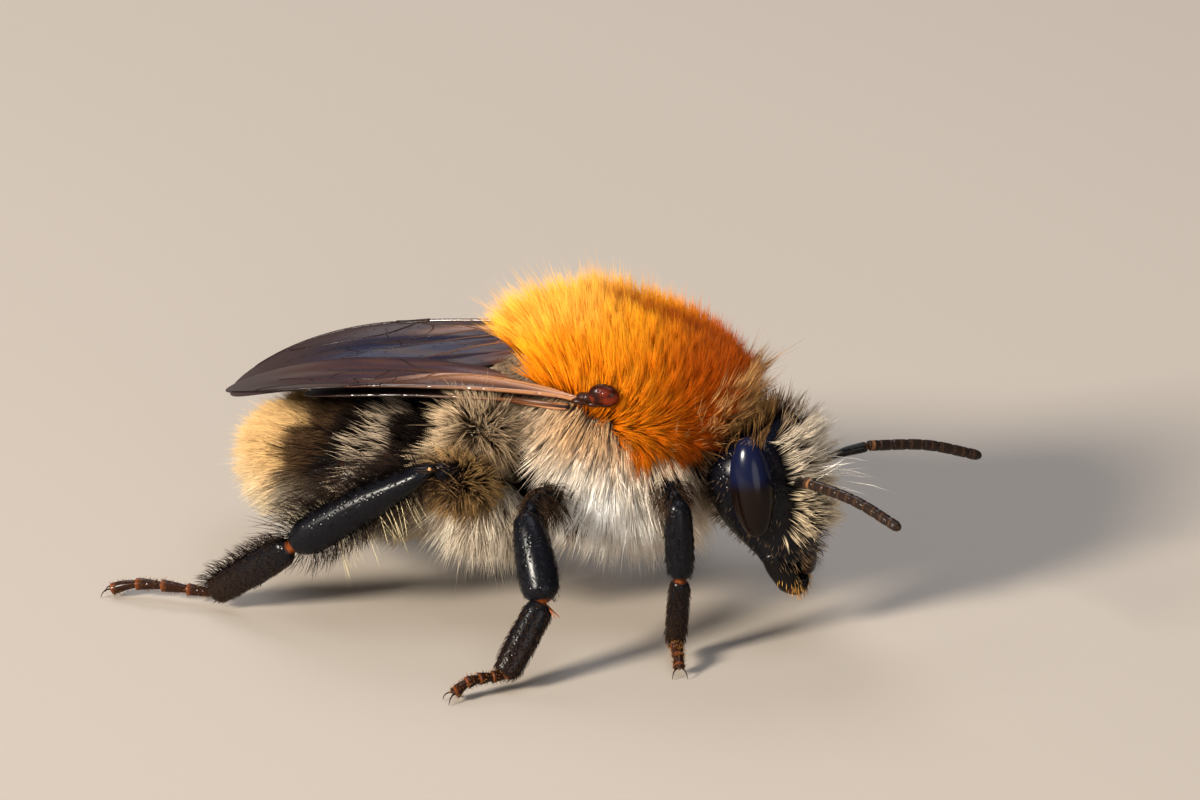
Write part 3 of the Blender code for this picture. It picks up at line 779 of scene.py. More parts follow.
def wingSheet(name):
    # sheet over (u along, t across): the chord grows by a sine and closes as a
    # superellipse on the tip's share of it, and long pleats run out from the root
    size = wings[name]
    side = sides[name.split("_")[1]]

    def sheet(u, t):
        # x runs back with u, y out with the chord, z falls and ripples
        close = (1 - np.clip((u - 0.6) / 0.4, 0, 1) ** 2.3) ** (1 / 2.3)
        across = size["chord"] * chordShare(u) * (size["tip"] * (1 - close) + close * t)
        along = size["length"] * u
        x0, y0, z0 = size["root"]
        broadPleat = np.sin(5 * pi * t + 1.2) * ease(0.0, 0.25, u) * ease(0.95, 0.55, u)
        pleat = wings["pleat"] * (broadPleat + 0.8 * np.sin(11 * pi * t) * ease(0.5, 0.1, u))
        ridge = size["ridge"] * np.exp(-((t - 0.2) / 0.1) ** 2) * np.sin(pi * np.clip(u / 0.6, 0, 1))
        z = (z0 - size["drop"] * u - size["fall"] * across - size["sag"] * u ** 2.6
             - size["dip"] * u ** 6 + pleat + ridge)
        return np.stack([x0 - along, y0 + side * (size["out"] * along - across), z], axis=-1)

    return sheet


def plateMesh(sheet, rows, cols, thick):
    # the sheet doubled into a thin closed plate
    along, across = np.sin(pi / 2 * np.linspace(0, 1, rows)), np.linspace(0, 1, cols)
    u, t = np.meshgrid(along, across, indexing="ij")
    top = sheet(u, t).reshape(-1, 3)
    points = np.vstack([top, top - zAxis * thick])
    faces = gridFaces(rows, cols, False)
    n = rows * cols
    ids = np.arange(n).reshape(rows, cols)
    rim = np.concatenate([ids[0, :], ids[1:, -1], ids[-1, -2::-1], ids[-2:0:-1, 0]])
    after = np.roll(rim, -1)
    walls = np.stack([rim, after, after + n, rim + n], axis=1)
    return points, outward(points, [faces[:, ::-1], faces + n, walls])


for name in ("forewing_right", "forewing_left", "hindwing_right", "hindwing_left"):
    size = wings[name]
    sheet = wingSheet(name)

    def farShare(p):
        # share of the wing's length from its root
        return (size["root"][0] - p[:, 0]) / size["length"]

    def sheetTint(p):
        # brown with golden streaks near the root, a painted highlight on the front ridge between dark
        # gaps of painted shade, mauve to the tip and a painted indigo reflection in the middle
        u = farShare(p)
        across = abs(size["root"][1]) - abs(p[:, 1]) + size["out"] * size["length"] * u
        t = across / size["chord"] / chordShare(u)
        near = ease(0.6, 0.35, u) * size["cells"]
        streak = ripple(p * (0.15, 1, 1), 0.7, 12)
        sheen = ease(0.25, 0.42, u) * ease(0.86, 0.66, u) * ease(0.1, 0.3, t) * ease(-1.1, 0.2, streak)
        return shades(p, size["smokeAndPaintedLight"], (wings["base"], ease(0.55, 0.05, u) * ease(-0.5, 0.5, streak)),
                      (wings["gap"], 0.75 * near * np.exp(-((t - 0.34) / 0.08) ** 2)),
                      (wings["gap"], 0.75 * near * np.exp(-((t - 0.08) / 0.05) ** 2)),
                      (wings["paintedRidgeHighlight"], 0.8 * near * np.exp(-((t - 0.19) / 0.045) ** 2)),
                      (wings["tip"], ease(0.55, 0.95, u + 0.25 * (0.25 - t))),
                      (wings["paintedIndigoSheen"], sheen * size["sheen"]))

    def veinTint(p):
        # golden at the root, dark from 0.6 of the length
        return shades(p, wings["gold"], (wings["vein"], ease(0.0, 0.6, farShare(p))))

    solidPiece(name + "_sheet", [plateMesh(sheet, 100, 48, wings["sheet"])], "membrane", sheetTint,
               [name])
    tubes = []
    for run, thick in (foreVeins if size["cells"] else hindVeins):
        spots = through(run, np.linspace(0, 1, 14))
        path = sheet(spots[:, 0], spots[:, 1]) - zAxis * wings["sheet"] / 2
        along = abs(path[-1, 0] - path[0, 0]) > 0.6
        tubes.append(shellMesh(limbSurface(path, thick * 0.9, thick, ((0, 1, 1), (1, 0.8, 0.8)),
                                           (0.03, 0.05), 2.0, yAxis if along else xAxis), 26, 8))
    solidPiece(name + "_costa", tubes[:1], "vein", veinTint)
    solidPiece(name + "_veins", tubes[1:], "leg", veinTint)

# wing caps and the small plates of the hinge, each (x, z, radius)
tegula = dict(place=(0.6, 2.74, 7.6), half=(0.46, 0.22, 0.34), dark=srgb(34, 11, 6),
              red=srgb(96, 30, 12), hinge=((0.12, 7.5, 0.26), (-0.1, 7.34, 0.2), (0.3, 7.3, 0.16)),
              hingeColour=srgb(44, 22, 14))


def capTint(p):
    # dark rim, redder in the middle, unevenly
    middle = ease(0.36, 0.1, abs(p[:, 2] - tegula["place"][2])) * ease(-0.3, 0.5, ripple(p, 0.3, 33))
    return shades(p, tegula["dark"], (tegula["red"], middle))


for side, sign in sides.items():
    x, y, z = tegula["place"]
    cap = ballSurface((x, sign * y, z), tegula["half"], power=2.3)
    solidPiece("wingCap_" + side, [shellMesh(cap, 24, 32, 0)], "leg", capTint, ["tegula_" + side])
    forms = [ballSurface((x, sign * y, z), (r * 1.3, r * 0.6, r * 0.5), power=2.4)
             for x, z, r in tegula["hinge"]]
    plates = [shellMesh(form, 12, 16, 0) for form in forms]
    solidPiece("wingHinge_" + side, plates, "leg", tegula["hingeColour"])
print("wings made")


# most triangles in one piece of coat, and the size of a hair's patch on the bake map
coat = dict(perPiece=195000, patch=0.003)


def scatter(surface, count, density, seed):
    # roots over a surface: chance = area of the patch x density; normals from differences
    draw = np.random.default_rng(seed)
    tries = int(count * 6)
    u, v = draw.uniform(0.003, 0.997, tries), draw.uniform(0, 1, tries)
    step = 1e-3
    p = surface(u, v)
    du = surface(np.minimum(u + step, 1), v) - surface(np.maximum(u - step, 0), v)
    dv = surface(u, v + step) - surface(u, v - step)
    cross = np.cross(du, dv)
    normal = unit(cross)
    if ((p - p.mean(0)) * normal).sum() < 0:
        normal = -normal
    weight = np.linalg.norm(cross, axis=1) * density(p, normal)
    count = min(count, int((weight > 1e-12).sum()))
    keep = draw.choice(tries, count, replace=False, p=weight / weight.sum())
    return dict(u=u[keep], v=v[keep], p=p[keep], n=normal[keep], draw=draw)


def gathered(parts):
    # several sets of roots side by side on one map
    share = 1 / len(parts)
    for k, part in enumerate(parts):
        part["v"] = (part["v"] + k) * share
    both = {key: np.concatenate([part[key] for part in parts]) for key in ("u", "v", "p", "n")}
    return dict(both, draw=parts[0]["draw"])


def fanned(x, y, z):
    # unit rows from three arrays or numbers
    return unit(np.stack(np.broadcast_arrays(x, y, z), axis=-1).astype(float))


def hairCoat(name, roots, start, end, length, radius, colours, slot, gather=0.35, crowd=25,
             rings=3, wander=0.09, vary=(0.66, 1.12), strays=0.04):
    # closed three-sided hairs: point(t) = root + length (t start + t^2 (end - start) / 2),
    # drawn to the nearest lock's own line by gather t^1.5, tapering to one point.
    # colours are stops from root to tip, one row per hair in each; a lock has crowd hairs,
    # and a share of strays stand longer and by themselves
    draw, p, n = roots["draw"], roots["p"], len(roots["p"])
    leaders = draw.choice(n, max(2, n // crowd), replace=False)
    tree = kdtree.KDTree(len(leaders))
    for k, spot in enumerate(p[leaders]):
        tree.insert(spot, k)
    tree.balance()
    lock = np.array([tree.find(spot)[1] for spot in p])
    lead = leaders[lock]
    lean = draw.normal(0, wander * 1.3, (len(leaders), 3))[lock]
    start, end = unit(start + lean * 0.6), unit(end + lean + draw.normal(0, wander, (n, 3)))
    length = np.broadcast_to(length, (n,)) * draw.uniform(*vary, n)
    length = length * draw.uniform(0.84, 1.07, len(leaders))[lock]
    alone = draw.uniform(size=n) < strays
    length = length * np.where(alone, 1.26, 1.0)
    pull = gather * draw.uniform(0.4, 1.2, n) * (1 - alone)

    def path(t):
        # each hair's own line, drawn towards its leader's
        own = p + length[:, None] * (t * start + t * t / 2 * (end - start))
        led = p[lead] + length[:, None] * (t * start[lead] + t * t / 2 * (end[lead] - start[lead]))
        return own + (led - own) * (pull * t ** 1.5)[:, None]

    reference = unit(draw.normal(size=(n, 3)))
    radius = np.broadcast_to(radius, (n,)) * draw.uniform(0.8, 1.2, n)
    bake = np.stack([roots["v"], roots["u"]], axis=1)
    low, high = bake.min(0), bake.max(0)
    bake = 0.004 + 0.992 * (bake - low) / np.maximum(high - low, 1e-6)
    colours = np.stack([np.broadcast_to(c, (n, 3)) for c in colours])
    shade = draw.uniform(0.8, 1.15, (n, 1)) * draw.uniform(0.8, 1.15, (len(leaders), 1))[lock]
    points, tints, spots = [], [], []
    for k in range(rings + 1):
        t = k / rings
        way = unit(path(min(t + 0.05, 1.0)) - path(max(t - 0.05, 0.0)))
        side = unit(np.cross(way, reference))
        up = np.cross(way, side)
        stop = t * (len(colours) - 1)
        first = min(int(stop), len(colours) - 2)
        tint = colours[first] + (colours[first + 1] - colours[first]) * (stop - first)
        corners = (0, 2 * pi / 3, 4 * pi / 3) if k < rings else (0,)
        size = (radius * (1 - 0.55 * t ** 1.5 if k < rings else 0))[:, None]
        for c, corner in enumerate(corners):
            points.append(path(t) + size * (cos(corner) * side + sin(corner) * up))
            tints.append(np.clip(tint * shade, 0, 1))
            spots.append(bake + coat["patch"] * np.array([c / 2 - 0.5, t - 0.5]))
    each = len(points)
    points, tints = np.stack(points, axis=1), np.stack(tints, axis=1)
    spots = np.clip(np.stack(spots, axis=1), 0, 1)
    points[..., 2] = np.maximum(points[..., 2], 0.03)
    one = np.arange(3)
    other = (one + 1) % 3
    quads = np.concatenate([np.stack([one, other, other + 3, one + 3], axis=1) + r * 3
                            for r in range(rings - 1)])
    tips = np.stack([one + each - 4, other + each - 4, np.full(3, each - 1)], axis=1)
    cap = np.array([[0, 2, 1]])
    pieces = -(-n * (len(quads) * 2 + 4) // coat["perPiece"])
    for k in range(pieces):
        rows = np.arange(k, n, pieces)
        shift = (np.arange(len(rows)) * each)[:, None, None]
        faces = [(f[None] + shift).reshape(-1, f.shape[1]) for f in (quads, tips, cap)]
        label = name if pieces == 1 else "%s_%d" % (name, k + 1)
        piece = newPiece(label, points[rows].reshape(-1, 3), faces, looks["hair"],
                         tints[rows].reshape(-1, 3), spots[rows].reshape(-1, 2))
    print(name, n, "hairs in", pieces)


# thorax: orange above the line, pale below, dark and thin at the neck
fleece = dict(crownHairs=50000, flankHairs=26000, collarHairs=2800, radius=0.01, fine=0.0094,
              crownTop=1.4, crest=0.38, crownSide=1.85, crownRear=2.1, flankLength=1.6,
              capSpot=(0.35, 7.35, 0.42, 0.36), patchSpot=(1.2, 0.4, 1.6, 0.85),
              hollowSpot=(-1.85, 4.65, 0.9, 1.15), whiteSpot=(0.4, 4.5, 1.5, 1.3),
              rust=srgb(84, 26, 2), deep=srgb(172, 64, 2), orange=srgb(240, 136, 2),
              # gilt is a painted highlight for the crest's tips; bare is the painted shade of the
              # crown's patch
              amber=srgb(255, 180, 36), paintedCrestHighlight=srgb(255, 194, 84), paintedPatchShade=srgb(112, 42, 4),
              root=srgb(66, 50, 36), middle=srgb(206, 172, 134), cream=srgb(248, 228, 198),
              white=srgb(255, 253, 249), tan=srgb(204, 150, 90), brown=srgb(58, 34, 17),
              pale=srgb(228, 192, 144))
fleece.update(hazel=fleece["tan"] * 0.7, umber=fleece["tan"] * 0.4, sable=fleece["brown"] * 1.3)


def fleeced(p, base, *steps):
    # shades of the fleece's own colours, given by name
    return shades(p, fleece[base], *((fleece[name], share) for name, share in steps))


def frontShare(p):
    # 1 behind the orange's front limit, which leans forwards as it rises
    x, y, z = p.T
    return ease(0.25, -0.25, x - 2.3 - (z - 5.8) + 0.15 * ripple(p, 0.8, 9))


def capShare(p):
    # exp(-squared distance) round each wing cap, where the coat opens
    x, y, z = p.T
    return np.exp(-apart(x, z, fleece["capSpot"])) * (abs(y) > 1.4)


def patchShare(p):
    # the sparse patch on the crown, an ease of the squared distance from its middle; its hairs are also
    # shorter and painted darker, as the shade behind the crest
    x, y, z = p.T
    return ease(1.5, 0.25, apart(x, y, fleece["patchSpot"])) * (z > 7)


crown = scatter(thoraxSurface, fleece["crownHairs"], lambda p, n: crownShare(p)
                * (1 - 0.3 * patchShare(p)) * frontShare(p)
                * (1 - 0.9 * capShare(p)), 21)
p, n = crown["p"], crown["n"]
x, y, z = p.T
patch, rear, fore = patchShare(p), ease(-0.4, -2.6, x), ease(0.8, 3.0, x)
low = ease(7.5, 5.6, z)  # down the sides
flat = n * (1, 1, 0)
shoulder = rear * ease(0.25, 1.1, abs(y))  # the two rear corners
steep = ease(0.9, 0.5, n[:, 2]) * (1 - low)  # where the top turns into the side
back = rear + (ease(0.6, -1.6, x) - rear) * steep
sweep = xAxis * (-1.15 * back + 0.3 * fore - 0.1 + 1.6 * low * (1 - low) * (1 - rear))[:, None]
rise = zAxis * (1 - 0.3 * rear - 1.8 * low * (1 - rear))[:, None]
out = (0.6 - 0.25 * steep)[:, None]
start = unit(n * out + rise * (1.2 - out) + sweep * (1.1 - out))
end = unit(rise - flat * (0.2 - 0.5 * low + 0.12 * steep)[:, None] + sweep)
# lengths: the top's, to the side's on steep parts, to the rear's, less at patch and edges
length = fleece["crownTop"] + fleece["crest"] * ease(1.4, -0.8, x)
length += (fleece["crownSide"] - length) * ease(0.9, 0.4, n[:, 2])
length = (length + (fleece["crownRear"] - length) * rear) * (1 - 0.34 * patch) * (1 - 0.4 * low)
length *= (1 - 0.22 * fore) * (1 - 0.25 * rear * ease(8.0, 7.0, z)) * (1 - 0.5 * shoulder)
# colour shares: painted light on the lit middles, a painted highlight on the crest, painted shade that
# dulls and deepens the front, the lower sides, the corners and the steep parts, brown mottle at the
# lower edge
lit = ease(2.4, -0.2, x) * (1 - 0.5 * low) * (0.4 + 0.6 * ease(0.5, 0.9, n[:, 2]))
crest = 0.85 * ease(0.62, 0.92, n[:, 2]) * ease(1.3, -0.6, x)
paintedDullShade = np.clip(0.2 + fore * 0.6 + 0.4 * shoulder + 0.3 * steep, 0, 1) * (1 - crest)
mottle = ease(6.7, 5.6, z) * ease(-0.5, 0.7, ripple(p, 0.7, 6))
hairCoat("fleeceCrown", crown, start, end, length, fleece["fine"],
         [fleeced(p, "rust"),
          fleeced(p, "deep", ("orange", lit * 0.4), ("paintedPatchShade", patch * 0.55), ("brown", mottle)),
          fleeced(p, "orange", ("amber", lit * 0.2), ("deep", fore * 0.85), ("deep", low * 0.5),
                  ("paintedPatchShade", patch * 0.65), ("brown", mottle * 0.7)),
          fleeced(p, "amber", ("paintedCrestHighlight", crest), ("orange", paintedDullShade), ("deep", fore * 0.8),
                  ("deep", low * 0.4), ("deep", patch * 0.85))],
         "thorax_coat", gather=0.4, crowd=15, wander=0.09, vary=(0.6, 1.04), rings=2, strays=0.06)


def hollowShare(p):
    # the dark bare hollow over each middle leg, an ease of the squared distance
    x, y, z = p.T
    return ease(1.4, 0.8, apart(x, z, fleece["hollowSpot"]))


flank = scatter(thoraxSurface, fleece["flankHairs"],
                lambda p, n: (1 - crownShare(p)) * (1 - 0.85 * neckShare(p)) * (1 - hollowShare(p))
                * (0.3 + 0.7 * ease(-0.95, -0.5, n[:, 2])), 22)
p, n = flank["p"], flank["n"]
x, y, z = p.T
lie = fanned(np.clip((x - 0.7) * 0.4, -1.0, 0.5), 0.0, -1.0)  # down, fanned fore and aft
neck = neckShare(p)
whiteness = np.exp(-apart(x, z, fleece["whiteSpot"]))
upper = ease(5.6, 6.6, z) * (0.25 + 0.75 * ease(-1.7, 0.0, x))  # tan below the line
above = np.exp(-((x + 1.9) / 0.75) ** 2) * ease(6.9, 5.8, z)
length = fleece["flankLength"] * (1 - 0.62 * neck) * (0.72 + 0.32 * ease(6.8, 5, z))
# under the wings' roots the hairs are shorter and painted browner, as the shade there
tucked = ease(6.7, 7.1, z) * ease(-0.6, -1.4, x)  # under the wings' roots
length *= (1 - 0.5 * above) * (1 - 0.6 * tucked)
hairCoat("fleeceFlank", flank, unit(n * 0.55 + lie * 0.6), unit(n * 0.1 + lie), length,
         fleece["radius"],
         [fleeced(p, "root", ("middle", 0.25), ("white", whiteness * 0.9)),
          fleeced(p, "middle", ("white", whiteness), ("hazel", upper * 0.8),
                  ("brown", np.maximum(neck, tucked) * 0.8)),
          fleeced(p, "cream", ("white", whiteness), ("tan", upper * 0.75),
                  ("brown", np.maximum(neck, tucked) * 0.75)),
          fleeced(p, "cream", ("white", 0.3 + 0.7 * whiteness), ("pale", upper * 0.8),
                  ("umber", neck * 0.8), ("brown", tucked * 0.9))],
         "thorax_coat", gather=0.34, crowd=16, wander=0.1, rings=2)

# collar: longer hairs off the front of the thorax, up over the back of the head
collar = scatter(thoraxSurface, fleece["collarHairs"], lambda p, n: (1 - frontShare(p)) ** 2
                 * ease(1.9, 2.3, p[:, 0]) * ease(5.3, 5.9, p[:, 2]) * ease(7.1, 6.7, p[:, 2]), 25)
p, n = collar["p"], collar["n"]
x, y, z = p.T
lift = ease(5.4, 6.5, z)
lie = fanned(0.1 + 0.3 * lift, y * 0.1, 2.0 * lift - 0.8)
hairCoat("fleeceCollar", collar, unit(n * 0.7 + lie * 0.6), unit(n * 0.2 + lie),
         0.4 + 1.4 * lift, 0.0095,
         [shades(p, thorax["neckSkin"]), fleeced(p, "brown", ("tan", 0.4 * lift)),
          fleeced(p, "brown", ("tan", lift)), fleeced(p, "sable", ("tan", 0.6 * lift))],
         "thorax_coat", gather=0.5, crowd=12, wander=0.15)

# tufts either side behind the thorax: hairs that fan out all round from one middle
tufts = dict(waist=dict(centre=(-3.15, 2.1, 5.92), half=(0.6, 0.45, 0.5), hairs=1500, length=1.35,
                        out=0.45, droop=0.0, mid=srgb(100, 75, 50), tip=srgb(200, 174, 140)),
             hip=dict(centre=(-3.45, 2.95, 4.6), half=(0.65, 0.45, 0.5), hairs=1500, length=1.0,
                      out=0.6, droop=0.1, mid=srgb(56, 38, 22), tip=srgb(164, 128, 80)),
             hang=dict(centre=(-3.1, 2.0, 3.7), half=(0.9, 0.7, 0.65), hairs=2400, length=1.75,
                       out=0.3, droop=1.0, mid=srgb(204, 180, 150), tip=srgb(254, 242, 222)),
             radius=0.0125, dark=srgb(34, 23, 13))
for name in ("waist", "hip", "hang"):
    size = tufts[name]
    parts = []
    for side, sign in sides.items():
        centre = np.array(size["centre"]) * (1, sign, 1)
        spot = scatter(ballSurface(centre, size["half"]), size["hairs"],
                       lambda p, n: ease(-0.5, 0.3, n[:, 1] * sign) + 0.3 * size["droop"], 31)
        spot["n"] = np.stack([p - centre for p in spot["p"]]) * (1, 0, 1) / np.array(size["half"])
        parts.append(spot)
    tuft = gathered(parts)
    p, n = tuft["p"], tuft["n"]
    away = yAxis * np.sign(p[:, 1])[:, None]
    far = np.clip(np.linalg.norm(n, axis=1), 0, 1)[:, None]
    fan = unit(n + tuft["draw"].normal(0, 0.18, p.shape) * (1, 0, 1))
    drop = zAxis * size["droop"]
    start = unit(fan * (0.35 + 0.65 * far) + away * (1.1 - 0.5 * far) - drop * 0.7)
    end = unit(fan * (1 - 0.55 * (size["droop"] > 0.5)) + away * size["out"] - drop * 1.4)
    base, mid, tip = tufts["dark"], size["mid"], size["tip"]
    hairCoat(name + "Tufts", tuft, start, end, size["length"], tufts["radius"],
             [shades(p, base), shades(p, base, (mid, 0.55)), shades(p, mid, (tip, 0.4)),
              shades(p, tip)],
             "thorax_coat", gather=0.68, crowd=10, wander=0.16, rings=2)

# abdomen: thin grey and black bands over the shell, a dense golden tail
belt = dict(hairs=24000, length=0.85, tailLength=0.98, radius=0.0095,
            edges=(-4.7, -5.9, -6.95, -7.5, -8.7),
            colours=(srgb(206, 180, 146), srgb(24, 17, 14), srgb(206, 184, 158), srgb(26, 18, 14),
                     srgb(82, 60, 40), srgb(208, 170, 116)),
            density=(0.8, 0.36, 0.27, 0.42, 0.4, 1.7), root=srgb(20, 14, 11), low=srgb(232, 218, 190))


def beltBand(p):
    # each root's place in the bands, which lean back as they rise
    x = p[:, 0] - 0.35 * (p[:, 2] - 5.0) + 0.2 * ripple(p, 0.9, 8)
    return np.searchsorted(-np.array(belt["edges"]), -x)


hide = scatter(abdomenSurface, belt["hairs"], lambda p, n: np.array(belt["density"])[beltBand(p)]
               * ease(-3.6, -4.0, p[:, 0]) * (0.6 + 0.4 * ease(-0.8, -0.2, n[:, 2])), 23)
p, n = hide["p"], hide["n"]
x, y, z = p.T
rump, under = ease(-8.0, -9.6, x), ease(4.2, 2.6, z)  # tail end, underside
lie = fanned(-1.0, 0.0, -0.5 * np.clip(1 - n[:, 2], 0, 1.2))
tip = blendTo(np.array(belt["colours"])[beltBand(p)], belt["low"], under * 0.7)
hairCoat("fleeceBelly", hide, unit(n * 0.55 + lie * 0.7), unit(n * (0.12 + 0.2 * rump)[:, None] + lie),
         belt["length"] + (belt["tailLength"] - belt["length"]) * rump, belt["radius"],
         [shades(p, belt["root"], (tip, 0.1 + 0.3 * rump)),
          tip * (0.55 + 0.3 * rump)[:, None], tip], "abdomen_coat", gather=0.35, crowd=12, rings=2,
         wander=0.13)

# head: zones of coat inside soft limits of height and of the forward measure, whose hairs
# lie by (forward, sideways, up) from their root's height h and side s
mane = dict(radius=0.011, lift=(0.6, 0.3), root=srgb(22, 17, 14), dark=srgb(30, 23, 18),
            brown=srgb(140, 114, 84), glint=srgb(214, 160, 84))
maneZones = dict(
    maneVertex=dict(count=1050, heights=(0.8, 1.5), forwards=(-1.2, 0.25), halfWidth=1.65, seed=41,
                    lie=lambda h, s: (0.42, s * 0.15, 1.0), length=0.9, tip=srgb(146, 106, 62),
                    crowd=8, wander=0.2, radius=0.0095),
    maneFrons=dict(count=2900, heights=(0.0, 0.98), forwards=(0.38, 2.0), halfWidth=1.15, seed=42,
                   lie=lambda h, s: (0.75 - 0.1 * h, s * 0.45, 0.45 + 0.25 * h), length=1.0,
                   tip=srgb(240, 221, 194), gather=0.4, crowd=9, wander=0.12, mid=0.4, radius=0.009),
    maneBrow=dict(count=420, heights=(0.85, 1.3), forwards=(0.7, 1.6), halfWidth=1.2, seed=48,
                  lie=lambda h, s: (0.35, s * 0.35, 1.0), length=0.85, tip=srgb(176, 150, 118),
                  gather=0.3, crowd=6, wander=0.18, mid=0.3, radius=0.0085),
    maneMiddle=dict(count=320, heights=(-0.6, 0.1), forwards=(0.7, 2.0), halfWidth=0.6, seed=43,
                    lie=lambda h, s: (1.0, s * 0.3, 0.14), length=2.1, tip=srgb(250, 240, 224),
                    gather=0.05, crowd=3, wander=0.16, mid=0.7),
    maneClypeus=dict(count=1900, heights=(-1.45, -0.45), forwards=(0.45, 2.0), halfWidth=1.2, seed=44,
                     lie=lambda h, s: (1.0, s * 0.55, -0.05 + 0.7 * (h + 0.95)), length=0.74,
                     tip=srgb(236, 212, 174), gather=0.42, crowd=9, wander=0.14, mid=0.3,
                     radius=0.0095),
    maneMouth=dict(count=300, heights=(-2.5, -1.5), forwards=(0.4, 2.0), halfWidth=0.9, seed=45,
                   lie=lambda h, s: (0.9, s * 0.5, -0.7), length=0.42, tip=mane["brown"],
                   root=mane["dark"], gather=0.1, crowd=4, wander=0.16, mid=0.1, radius=0.008),
    maneCheek=dict(count=500, heights=(-2.2, 1.0), forwards=(-1.3, 0.6), halfWidth=3.0, seed=46,
                   lie=lambda h, s: (-0.3, 0.0, -0.9), length=0.22, tip=mane["brown"],
                   gather=0.1, crowd=6, radius=0.007, rings=2, wander=0.15),
    maneNape=dict(count=700, heights=(-1.9, 0.6), forwards=(-2.0, -1.3), halfWidth=1.1, seed=47,
                  lie=lambda h, s: (-0.55, s * 0.1, -0.7), length=0.5, tip=mane["brown"],
                  gather=0.35, crowd=12, wander=0.15, radius=0.0095))


def zoneRoots(count, heights, forwards, halfWidth, seed, edge=0.15):
    # roots on the head between soft limits of height and forward measure
    def density(p, n):
        # product of eases inside each pair of limits
        h, f, s = faceFrom(p)
        chance = 1.0
        for measure, (low, high) in ((h, heights), (f, forwards), (s, (-halfWidth, halfWidth))):
            chance = chance * ease(low - edge, low + edge, measure)
            chance = chance * ease(high + edge, high - edge, measure)
        return chance

    return scatter(headSurface, count, density, seed)


def maneZone(name, count, heights, forwards, halfWidth, seed, lie, length, tip, root=mane["root"],
             mid=0.35, radius=mane["radius"], **more):
    # one zone: hairs leave between the normal and the lie, and end nearer to the lie
    roots = zoneRoots(count, heights, forwards, halfWidth, seed)
    p, n = roots["p"], roots["n"]
    h, f, s = faceFrom(p)
    way = fanned(*lie(h, s))
    start, end = (unit(n * share + way * (1 - share)) for share in mane["lift"])
    hairCoat(name, roots, start, end, length, radius,
             [shades(p, root), shades(p, root, (tip, mid)), shades(p, tip * 0.8), shades(p, tip)],
             "head_coat", **more)


for name, zone in maneZones.items():
    maneZone(name, **zone)

# legs: short lying hairs, with fringes on both edges of the hind shins
brush = dict(dark=srgb(20, 14, 11), soot=srgb(46, 31, 22), brown=srgb(74, 50, 30),
             thigh=srgb(84, 60, 40), gold=srgb(196, 132, 66), pale=srgb(226, 206, 160), radius=0.0095)


def limbRoots(name, part, count, seed, turns, places):
    # roots on a stretch of one limb's surface, by place along it and turn round it
    form = legForms[name][part]

    def stretch(u, v):
        # the form between its low and high place and turn
        return form(places[0] + (places[1] - places[0]) * u, turns[0] + (turns[1] - turns[0]) * v)

    return scatter(stretch, count, lambda p, n: np.ones(len(p)), seed)


def brushed(label, names, part, count, seed, out, lift, length, tip, ends=("knee", "ankle"),
            turns=(0.0, 1.0), places=(0.0, 1.0), root=brush["dark"], radius=brush["radius"], **more):
    # hairs on one part of the named legs: they leave by the normal and lie along the limb
    sets = [limbRoots(name, part, count, seed, turns, places) for name in names]
    ways = [unit(legForms[name][ends[1]] - legForms[name][ends[0]]) for name in names]
    way = np.repeat(ways, [len(roots["p"]) for roots in sets], axis=0)
    roots = gathered(sets)
    p, n = roots["p"], roots["n"]
    start, end = (unit(n * share + way * (1 - share)) for share in (out, lift))
    hairCoat(label, roots, start, end, length, radius,
             [shades(p, root), shades(p, root, (tip, 0.4)), shades(p, tip)], "chitin", **more)


every = list(legForms)
hind = [name for name in every if name.startswith("hind")]
others = [name for name in every if name not in hind]
brushes = dict(
    brushBlades=dict(names=every, part="blade", count=900, seed=51, out=0.4, lift=0.15, length=0.19,
                     tip=brush["brown"], ends=("ankle", "heel"), crowd=6, rings=2, wander=0.14,
                     radius=0.0075),
    brushShins=dict(names=others, part="tibia", count=520, seed=52, out=0.35, lift=0.1, length=0.16,
                    tip=brush["dark"], crowd=6, rings=2, wander=0.12, radius=0.007),
    brushThighs=dict(names=every, part="femur", count=900, seed=59, out=0.55, lift=0.2, length=0.85,
                     tip=brush["thigh"], turns=(0.0, 1.0), places=(0.42, 1.0), crowd=7, gather=0.35,
                     wander=0.18, rings=2),
    brushFeet=dict(names=every, part="foot", count=260, seed=53, out=0.8, lift=0.5, length=0.12,
                   tip=brush["gold"], ends=("heel", "heel"), crowd=4, rings=2, wander=0.2,
                   radius=0.007),
    brushHindShins=dict(names=hind, part="tibia", count=300, seed=54, out=0.3, lift=0.1,
                        length=0.14, tip=brush["dark"], crowd=6, rings=2, radius=0.007),
    fringeUpper=dict(names=hind, part="tibia", count=420, seed=55, out=0.92, lift=0.42, length=1.35,
                     tip=brush["soot"], turns=(0.16, 0.34), places=(0.08, 0.99), crowd=3,
                     gather=0.1, wander=0.2, radius=0.0085),
    fringeLower=dict(names=hind, part="tibia", count=480, seed=56, out=0.85, lift=0.4, length=0.8,
                     tip=brush["soot"], turns=(0.67, 0.83), places=(0.05, 0.99), crowd=3,
                     gather=0.1, wander=0.2, radius=0.0085),
    fringePale=dict(names=hind, part="tibia", count=40, seed=57, out=0.85, lift=0.75, length=1.45,
                    tip=brush["pale"], turns=(0.68, 0.82), places=(0.2, 0.75), root=brush["pale"],
                    crowd=2, gather=0.0, wander=0.12, radius=0.0075),
    fringeBlade=dict(names=hind, part="blade", count=320, seed=58, out=0.85, lift=0.35, length=0.6,
                     tip=brush["soot"], ends=("ankle", "heel"), turns=(0.15, 0.35), crowd=4,
                     rings=2, wander=0.12))
for name, values in brushes.items():
    brushed(name, **values)

